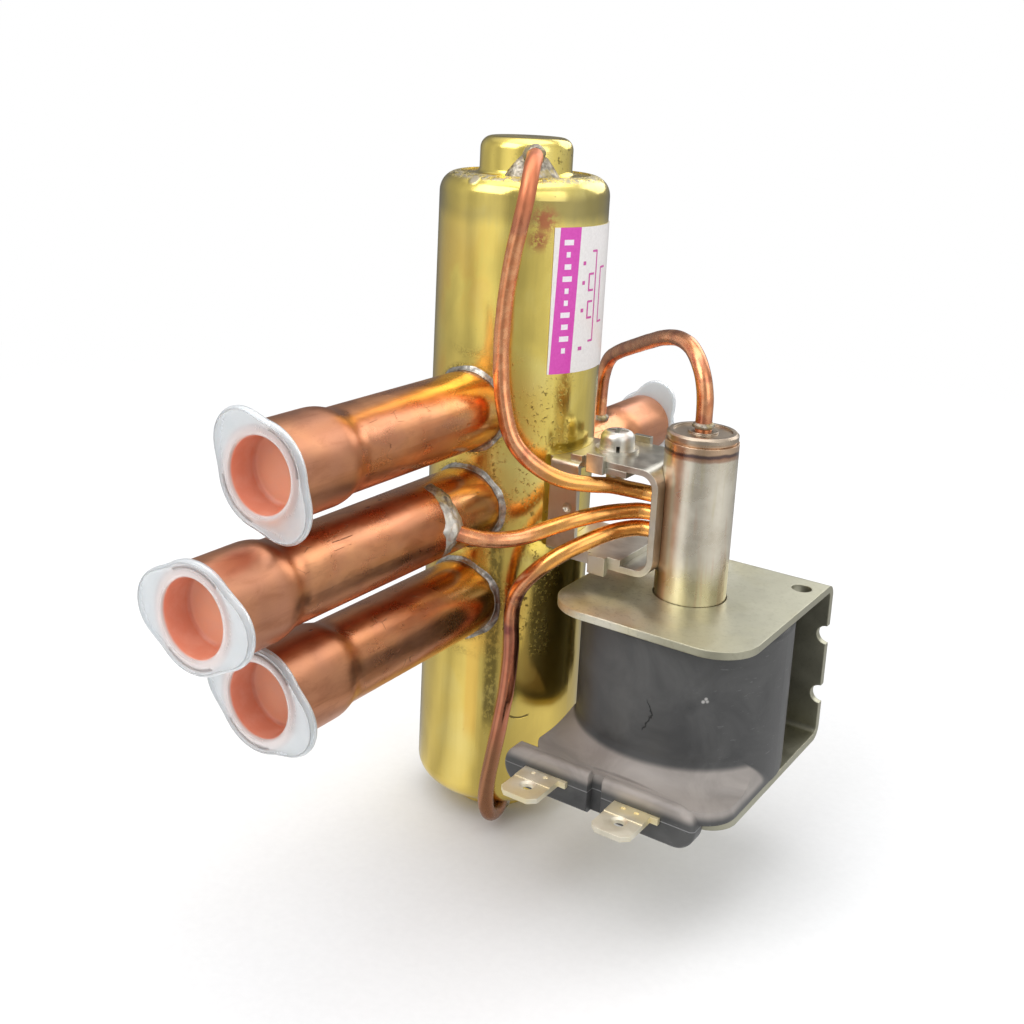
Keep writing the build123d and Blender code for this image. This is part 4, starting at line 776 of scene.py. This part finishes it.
# Dust caps: rounded flange with two pull lobes, a raised rim and a cup. Heading is along Y, lobes in degrees.
dustCaps = {
    "steps": 160, "blend": 1.1, "edge": 0.42, "edgeSteps": 6, "rimWidth": 0.6, "dish": 0.2, "middle": 0.4,
    "caps": {
        "evaporator_cap": {"height": 16.0, "heading": -1, "reach": 60.0, "lobes": -46, "size": "large"},
        "suction_cap": {"height": 0.0, "heading": -1, "reach": 72.0, "lobes": -4, "size": "large"},
        "condenser_cap": {"height": -16.0, "heading": -1, "reach": 60.0, "lobes": -17, "size": "large"},
        "discharge_cap": {"height": 1.2, "heading": 1, "reach": 49.0, "lobes": -115, "size": "small"},
    },
    "large": {
        "flange": 7.7, "lobe": 10.15, "halfWidth": 4.4, "thick": 1.3,
        "opening": 5.36, "plug": 6.57, "tip": 6.4, "depth": 4.2, "floor": 0.8,
    },
    "small": {
        "flange": 6.4, "lobe": 9.35, "halfWidth": 3.8, "thick": 1.3,
        "opening": 3.87, "plug": 4.97, "tip": 4.82, "depth": 3.6, "floor": 0.8,
    },
}


def lobeRadius(size, angle):
    # Distance from the middle to the flange's outline, where each lobe grows softly out of the disc
    spread = size["lobe"] - size["halfWidth"]
    offset = abs(spread * sin(angle))
    past = offset - size["halfWidth"]
    tip = sqrt(size["halfWidth"] ** 2 - offset**2) if past < 0 else -3 * past
    lobe = abs(spread * cos(angle)) + tip
    soft = dustCaps["blend"]
    return size["flange"] + soft * log1p(exp((lobe - size["flange"]) / soft))


def capProfile(size):
    # Rows of (radius, distance out, whether it follows the lobed outline), from the cup's floor to the tip
    edge, rim, dish = dustCaps["edge"], dustCaps["rimWidth"], dustCaps["dish"]
    opening, thick, plug, tip = size["opening"], size["thick"], size["plug"], size["tip"]
    middle, depth = dustCaps["middle"], size["depth"]
    floor = size["floor"] - depth
    cup = [(middle, floor), (opening - 0.9, floor), (opening - 0.3, floor + 0.15), (opening, floor + 0.7)]
    lip = [(opening, thick - 0.5), (opening + 0.08, thick - 0.2), (opening + 0.3, thick - 0.03)]
    lip += [(opening + 0.6, thick), (opening + 1.0, thick - 0.1), (opening + 1.4, thick - dish)]
    outline = [(-rim - 0.35, thick - dish), (-rim, thick - 0.08), (-rim + 0.2, thick)]
    for turn in spaced(0, pi, dustCaps["edgeSteps"]):
        outline.append((-edge + edge * sin(turn), thick / 2 * (1 + cos(turn))))
    stem = [(plug + 0.3, 0.0), (plug, -0.02), (tip, 0.5 - depth), (tip - 0.35, 0.08 - depth)]
    stem += [(tip - 0.8, -depth), (middle, -depth)]
    parts = [(cup, False), (lip, False), (outline, True), (stem, False)]
    return [(radius, out, lobed) for rows, lobed in parts for radius, out in rows]


def addDustCap(name, cap):
    size = dustCaps[cap["size"]]
    tilt = radians(cap["lobes"])
    rings = []
    for radius, out, lobed in capProfile(size):
        along = cap["heading"] * (cap["reach"] + out)
        ring = []
        for angle in turns(dustCaps["steps"]):
            reach = lobeRadius(size, angle) + radius if lobed else radius
            across, up = polar(reach, angle + tilt)
            ring.append((across, along, cap["height"] + up))
        rings.append(ring if cap["heading"] < 0 else ring[::-1])
    finish = capPlastic(name + "_plastic", cap, size)
    dress(name, finish)
    addPiece(name + "_shell", [rings], finish, name, [name])


for capName, capFacts in dustCaps["caps"].items():
    addDustCap(capName, capFacts)
print("dust caps:", len(dustCaps["caps"]))


# Braze fillets round the four pipes, where they enter the body
brazeFillets = {
    "bodyRadius": 13.8, "steps": 180, "rise": 0.6, "spread": 0.75, "uneven": 0.25, "bump": 0.06, "gap": 0.02,
    # height, heading along Y and outer radius of each pipe
    "pipes": [(16.0, -1, 6.35), (0.0, -1, 6.35), (-16.0, -1, 6.35), (1.2, 1, 4.76)],
    # share of the spread, then how high: millimetres and share of the rise
    "profile": [
        (0.02, -1.2, 0), (0.02, 0, 1), (0.12, 0, 0.72), (0.3, 0, 0.36), (0.58, 0, 0.13),
        (0.9, 0.03, 0), (1.0, -0.12, 0), (0.9, -0.8, 0),
    ],
}


def filletLoops(height, heading, tube):
    facts = brazeFillets
    loops = []
    for angle in turns(facts["steps"]):
        across, up = polar(tube, angle)
        probe = Vector((across, heading * 14.0, height + up))
        rise = facts["rise"] * (1 + facts["uneven"] * noise.noise(probe * 0.5) * 2)
        spread = facts["spread"] * (1 + facts["uneven"] * noise.noise(probe * 0.45 + Vector((9, 4, 2))) * 2)
        loop = []
        for away, lift, share in facts["profile"]:
            across, up = polar(tube + facts["gap"] + away * spread, angle)
            body = sqrt(facts["bodyRadius"] ** 2 - across**2)
            lumps = noise.noise(Vector((across, body, up)) * 1.4 + Vector((height, 0, 0)))
            loop.append((across, heading * (body + lift + rise * share + facts["bump"] * lumps), height + up))
        loops.append(loop if heading < 0 else loop[::-1])
    return loops


def addBrazeFillets():
    patches = [filletLoops(*pipe) for pipe in brazeFillets["pipes"]]
    addPiece("braze_fillets", patches, braze, "body", ["braze_rings"], loop=True)


addBrazeFillets()
print("braze fillets:", len(brazeFillets["pipes"]))


# Filler round the capillaries: a strap over the suction pipe, a wedge on each boss, and a bead at each joint
fillerPatches = {
    # angles in degrees round the pipe; half widths by angle
    "strap": {
        "pipe": 6.35, "middle": -25.3, "from": 80, "to": -42, "entry": 3, "rows": 48, "columns": 16,
        "thin": 0.3, "heap": 0.75, "lumps": 0.22, "sunk": 0.5,
        "halfWidths": [(80, 1.1), (50, 1.5), (25, 1.7), (5, 2.5), (-15, 1.6), (-42, 0.5)],
    },
    "wedge": {
        "boss": 7.5, "angle": -49, "halfTop": 11, "halfFoot": 27, "rows": 14, "columns": 20,
        "thin": 0.25, "heap": 2.3, "lumps": 0.35, "sunk": 0.6,
        "heights": [(52.6, 56.9), (-52.6, -55.6)],
    },
    # where, which way, how far along, how thick
    "beads": [
        ((5.2, -26.1, 0.5), (2.75, 3.5, -1.9), 1.9, 0.75), ((4.5, -5.2, 56.3), (2.2, -2.6, 0.0), 2.6, 0.5),
        ((4.5, -5.2, -54.6), (2.2, -2.6, 0.0), 2.6, 0.5), ((27.2, 0, 4.4), (1, 0, 0), 1.2, 0.45),
        ((27.2, 0, 1.5), (1, 0, 0), 1.2, 0.45), ((27.2, 0, -1.4), (1, 0, 0), 1.2, 0.45),
        ((0.1, 30.0, 5.3), (0, 0, 1), 1.5, 0.7), ((34.5, 0, 16.7), (0, 0, 1), 1.0, 0.5),
    ],
    "beadRows": 12, "beadSides": 24,
}


def alongList(pairs, value):
    # Straight-line reading of a falling list of (position, size)
    for (high, atHigh), (low, atLow) in zip(pairs, pairs[1:]):
        if value >= low:
            return atLow + (atHigh - atLow) * (value - low) / (high - low)
    return pairs[-1][1]


def strapRings(strap):
    rings = []
    for row in spaced(0, 1, strap["rows"]):
        angle = strap["from"] + (strap["to"] - strap["from"]) * row
        half = alongList(strap["halfWidths"], angle)
        turn = radians(angle)
        ends = sin(pi * min(max(row, 0.02), 0.98)) ** 0.3
        ring = []
        for share in spaced(-1, 1, strap["columns"]):
            uneven = 1 + 0.25 * noise.noise(Vector((angle * 0.09, share, 3)))
            along = strap["middle"] + half * share * uneven
            near = exp(-(((angle - strap["entry"]) / 16) ** 2) - (half * share / 1.7) ** 2)
            lift = (1 - share * share) ** 0.6 * ends * (strap["thin"] + strap["heap"] * near)
            lumps = noise.noise(Vector((angle * 0.16, along * 1.3, 7))) * (1 - share * share)
            across, up = polar(strap["pipe"] + max(lift + strap["lumps"] * lumps, 0.0), turn)
            ring.append((across, along, up))
        across, up = polar(strap["pipe"] - strap["sunk"], turn)
        ring += [(across, y, up) for y in (ring[-1][1], ring[0][1])]
        rings.append(ring)
    return rings


def wedgeRings(wedge, foot, top):
    rings = []
    deep = wedge["boss"] - wedge["sunk"]
    for share in spaced(0, 1, wedge["rows"]):
        height = foot + (top - foot) * share
        half = wedge["halfFoot"] * (1 - share) ** 0.9 + wedge["halfTop"]
        outer, inner = [], []
        for side in spaced(-1, 1, wedge["columns"]):
            turn = radians(wedge["angle"] + half * side)
            lumps = wedge["lumps"] * noise.noise(Vector((turn * 7, height * 0.9, 5)))
            lift = (wedge["thin"] + wedge["heap"] * (1 - share) ** 1.6 + lumps) * (1 - side * side) ** 0.7
            far = wedge["boss"] + max(lift, 0.0) - 0.15 * abs(side)
            outer.append((*polar(far, turn), height))
            inner.append((*polar(deep, turn), height))
        rings.append(outer + inner[::-1])
    return rings


def beadRings(start, heading, length, swell):
    ahead = Vector(heading).normalized()
    side = ahead.orthogonal().normalized()
    up = ahead.cross(side)
    rings = []
    inner = capillaries["radius"] - 0.1
    for share in spaced(0, 1, fillerPatches["beadRows"]):
        middle = Vector(start) + ahead * length * share
        ring = []
        for angle in turns(fillerPatches["beadSides"]):
            arm = side * cos(angle) + up * sin(angle)
            lumps = 1 + 0.5 * noise.noise((middle + arm * 2) * 0.9)
            ring.append(middle + arm * (inner + swell * sin(pi * share) ** 0.6 * lumps))
        rings.append(ring)
    return rings


def addFiller():
    wedge = fillerPatches["wedge"]
    patches = [strapRings(fillerPatches["strap"])]
    patches += [wedgeRings(wedge, *heights) for heights in wedge["heights"]]
    patches += [beadRings(*bead) for bead in fillerPatches["beads"]]
    piece = addPiece("capillary_filler", patches, filler, "body", ["capillary_saddle"])
    outward = bmesh.new()
    outward.from_mesh(piece.data)
    bmesh.ops.recalc_face_normals(outward, faces=outward.faces)
    outward.to_mesh(piece.data)
    outward.free()
    print("filler patches:", len(patches))


addFiller()


# Return spring of the pilot valve: the plunger presses it together on the fixed core
returnSpring = {"wire": 0.35, "turns": 4, "stepsPerTurn": 28, "sides": 12, "closeEnds": 0.07, "travel": 2.9}


def addReturnSpring():
    facts = returnSpring
    low, high = [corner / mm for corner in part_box("plunger_spring")]
    middle = (low + high) / 2
    radius = (high.x - low.x) / 2 - facts["wire"]
    foot, rise = low.z + facts["wire"], high.z - low.z - 2 * facts["wire"]
    line = []
    for share in spaced(0, 1, facts["turns"] * facts["stepsPerTurn"]):
        angle = 2 * pi * facts["turns"] * share
        eased = share - facts["closeEnds"] * sin(2 * pi * share)
        across, along = polar(radius, angle)
        line.append(Vector((middle.x + across, along, foot + rise * eased)))
    rings = tubeRings(line, facts["wire"], facts["sides"], 0.0)
    piece = addPiece("return_spring", [rings], slideSteel, "body", ["plunger_spring"])
    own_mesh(piece)
    print("return spring:", facts["turns"], "turns")


addReturnSpring()


# Label print: plain shapes only, as thin inked patches on the wrapped label.
# A patch is (angle, height, width in degrees, height span).
labelPrint = {
    "radius": 13.975, "thick": 0.02, "columns": 6,
    "stripe": {
        "angle": -26.4, "top": 43.4, "pitch": 1.9, "tall": 0.85, "widths": (7, 3, 5, 7, 3, 3, 7, 5, 7, 3),
    },
    "drawing": [
        (-2.0, 41.8, 5.0, 0.35), (0.4, 34.6, 1.3, 14.6), (-2.0, 27.4, 5.0, 0.35),
        (-4.6, 38.2, 5.2, 0.35), (-4.6, 35.6, 5.2, 0.35), (-7.0, 36.9, 1.3, 2.8),
        (-4.6, 33.8, 5.2, 0.35), (-4.6, 31.2, 5.2, 0.35), (-7.0, 32.5, 1.3, 2.8),
        (7.0, 34.6, 1.3, 9.0), (10.0, 39.0, 6.8, 0.35), (10.0, 30.2, 6.8, 0.35),
        (-12.4, 40.0, 2.4, 0.6), (-12.4, 36.9, 2.4, 0.6), (-12.4, 32.5, 2.4, 0.6), (-12.4, 26.4, 3.4, 0.6),
    ],
    "white": {"dark": (232, 222, 230), "light": (240, 234, 239)},
    "magenta": {"dark": (196, 70, 156), "light": (208, 92, 168)},
}


def patchRings(middle, height, wide, tall):
    rings = []
    for side in spaced(-0.5, 0.5, labelPrint["columns"]):
        angle = radians(middle + wide * side)
        ring = []
        for layer, level in ((0, -0.5), (0, 0.5), (1, 0.5), (1, -0.5)):
            far = labelPrint["radius"] + layer * labelPrint["thick"]
            ring.append((*polar(far, angle), height + level * tall))
        rings.append(ring)
    return rings


def addPrint(name, patches, finish):
    piece = addPiece(name, [patchRings(*patch) for patch in patches], finish, "body")
    piece.data.shade_flat()


def stripePatches(angle, top, pitch, tall, widths):
    return [(angle, top - pitch * step, wide, tall) for step, wide in enumerate(widths)]


stripeMarks = stripePatches(**labelPrint["stripe"])
addPrint("label_stripe_marks", stripeMarks, labelInk("labelWhite", labelPrint["white"]))
addPrint("label_drawing", labelPrint["drawing"], labelInk("labelMagenta", labelPrint["magenta"]))
print("label print")


# Stage: pale floor, soft room and lamps. The floor and the room are white where they are looked at,
# and in metal they show as a soft room with one broad white window in front and shade behind.
stage = {
    "floorRadius": 1600.0, "floorSides": 96, "floorDrop": 0.05,
    "floorColor": (0.8, 0.8, 0.8, 1.0), "floorShade": (0.78, 0.78, 0.78, 1.0),
    # millimetres from the axis over which the floor turns white: where it is looked at, and in metal
    "seenFade": (70.0, 400.0), "glossFade": (0.0, 30.0),
    # compass angle in degrees and brightness
    "panorama": [
        (-180, 0.5), (-160, 0.6), (-146, 0.78), (-128, 0.55), (-116, 0.85), (-104, 1.0), (-90, 1.0),
        (-77, 0.48), (-50, 0.46), (-28, 0.66), (6, 0.85), (40, 0.6), (75, 0.45), (104, 0.2), (138, 0.18),
        (164, 0.38), (180, 0.5),
    ],
    "ceiling": 1.0,
    # the room's own light from below to above
    "roomLight": [(0.0, (0.3, 0.3, 0.3, 1)), (0.5, (0.42, 0.42, 0.43, 1)), (1.0, (0.8, 0.81, 0.83, 1))],
    # place and aim in metres, size, watts
    "lamps": {
        "keyLamp": ((-0.16, -0.5, 0.5), (0, 0, 0), (0.5, 0.5), 2.6),
        "fillLamp": ((0.65, -0.25, 0.3), (0.02, 0, 0), (0.5, 0.6), 1.1),
        "topLamp": ((0.0, 0.05, 0.75), (0, 0, 0), (0.7, 0.7), 2.2),
        "backLamp": ((0.1, 0.6, 0.35), (0, 0, 0), (0.6, 0.4), 1.5),
    },
}


def roomTone(kit, across, along):
    # Brightness of the room by compass angle
    angle = kit.both(kit.calc("ARCTAN2", along, across), 180 / pi)
    stops = [((heading + 180) / 360, (level, level, level, 1)) for heading, level in stage["panorama"]]
    return kit.ramp(kit.fade(angle, -180, 180, kind="LINEAR"), *stops)


def floorPaper():
    f = Finish("floorPaper", Roughness=0.9)
    f.feed(Base_Color=f.ramp(f.cloud(0.8, 3), (0.3, stage["floorShade"]), (0.7, stage["floorColor"])))
    straight, mirrored = f.rays()
    away = f.length(f.x, f.y)
    seen = f.both(straight, f.fade(away, *stage["seenFade"]))
    glossed = f.both(mirrored, f.fade(away, *stage["glossFade"]))
    level = f.most(straight, roomTone(f, f.x, f.y))
    white = f.add("Emission", {"Color": (1, 1, 1, 1), "Strength": level}).outputs[0]
    blend = f.add("MixShader", {0: f.most(seen, glossed), 1: f.shader.outputs[0], 2: white})
    f.tree.links.new(blend.outputs[0], f.tree.nodes["Material Output"].inputs["Surface"])
    return f.material


def addFloor():
    low = cadBox[0].z / mm - stage["floorDrop"]
    ring = [(*polar(stage["floorRadius"], angle), low) for angle in turns(stage["floorSides"])]
    floor = addMesh("floor", ring, [tuple(range(len(ring)))], floorPaper())


def lightRoom():
    world = bpy.data.worlds.new("softRoom")
    world.use_nodes = True
    kit = NodeBench(world.node_tree)
    around = kit.add("TexCoord").outputs["Generated"]
    across, along, up = kit.add("SeparateXYZ", {0: around}).outputs
    straight, mirrored = kit.rays()
    room = kit.most(roomTone(kit, across, along), kit.both(kit.fade(up, 0.3, 0.85), stage["ceiling"]))
    soft = kit.ramp(kit.fade(up, -1.0, 1.0), *stage["roomLight"])
    room = kit.mix(mirrored, soft, room)
    room = kit.mix(straight, room, (1, 1, 1, 1))
    kit.tree.links.new(room, kit.tree.nodes["Background"].inputs["Color"])
    scene.world = world


def addLamp(name, spot, aim, size, power):
    lamp = bpy.data.lights.new(name, "AREA")
    lamp.shape = "RECTANGLE"
    lamp.size, lamp.size_y = size
    lamp.energy = power
    holder = addObject(name, lamp)
    holder.location = spot
    holder.rotation_euler = (Vector(aim) - Vector(spot)).to_track_quat("-Z", "Y").to_euler()


addFloor()
lightRoom()
for lampName, lampFacts in stage["lamps"].items():
    addLamp(lampName, *lampFacts)
print("stage lit:", len(stage["lamps"]), "lamps")


# Camera, matched to the photograph's frame: place in millimetres, angles in radians
photoView = {
    "spot": (113.5, -180.2, 68.8), "turn": 0.606, "dip": 0.224, "roll": -0.042,
    "lens": 45.88, "sensor": 36, "shift": (0.0511, -0.1422), "clip": (0.01, 20),
}


def placeCamera(spot, turn, dip, roll, lens, sensor, shift, clip):
    forward = Vector((-sin(turn) * cos(dip), cos(turn) * cos(dip), -sin(dip)))
    right = Vector((cos(turn), sin(turn), 0))
    down = forward.cross(right)
    imageRight = right * cos(roll) + down * sin(roll)
    imageDown = down * cos(roll) - right * sin(roll)
    camera = bpy.data.cameras.new("photoCamera")
    camera.sensor_width, camera.lens = sensor, lens
    camera.shift_x, camera.shift_y = shift
    camera.clip_start, camera.clip_end = clip
    holder = addObject("photoCamera", camera)
    holder.matrix_world = Matrix((imageRight, -imageDown, -forward)).transposed().to_4x4()
    holder.location = Vector(spot) * mm
    scene.camera = holder


placeCamera(**photoView)
scene.view_settings.view_transform = "Standard"
print("camera placed")
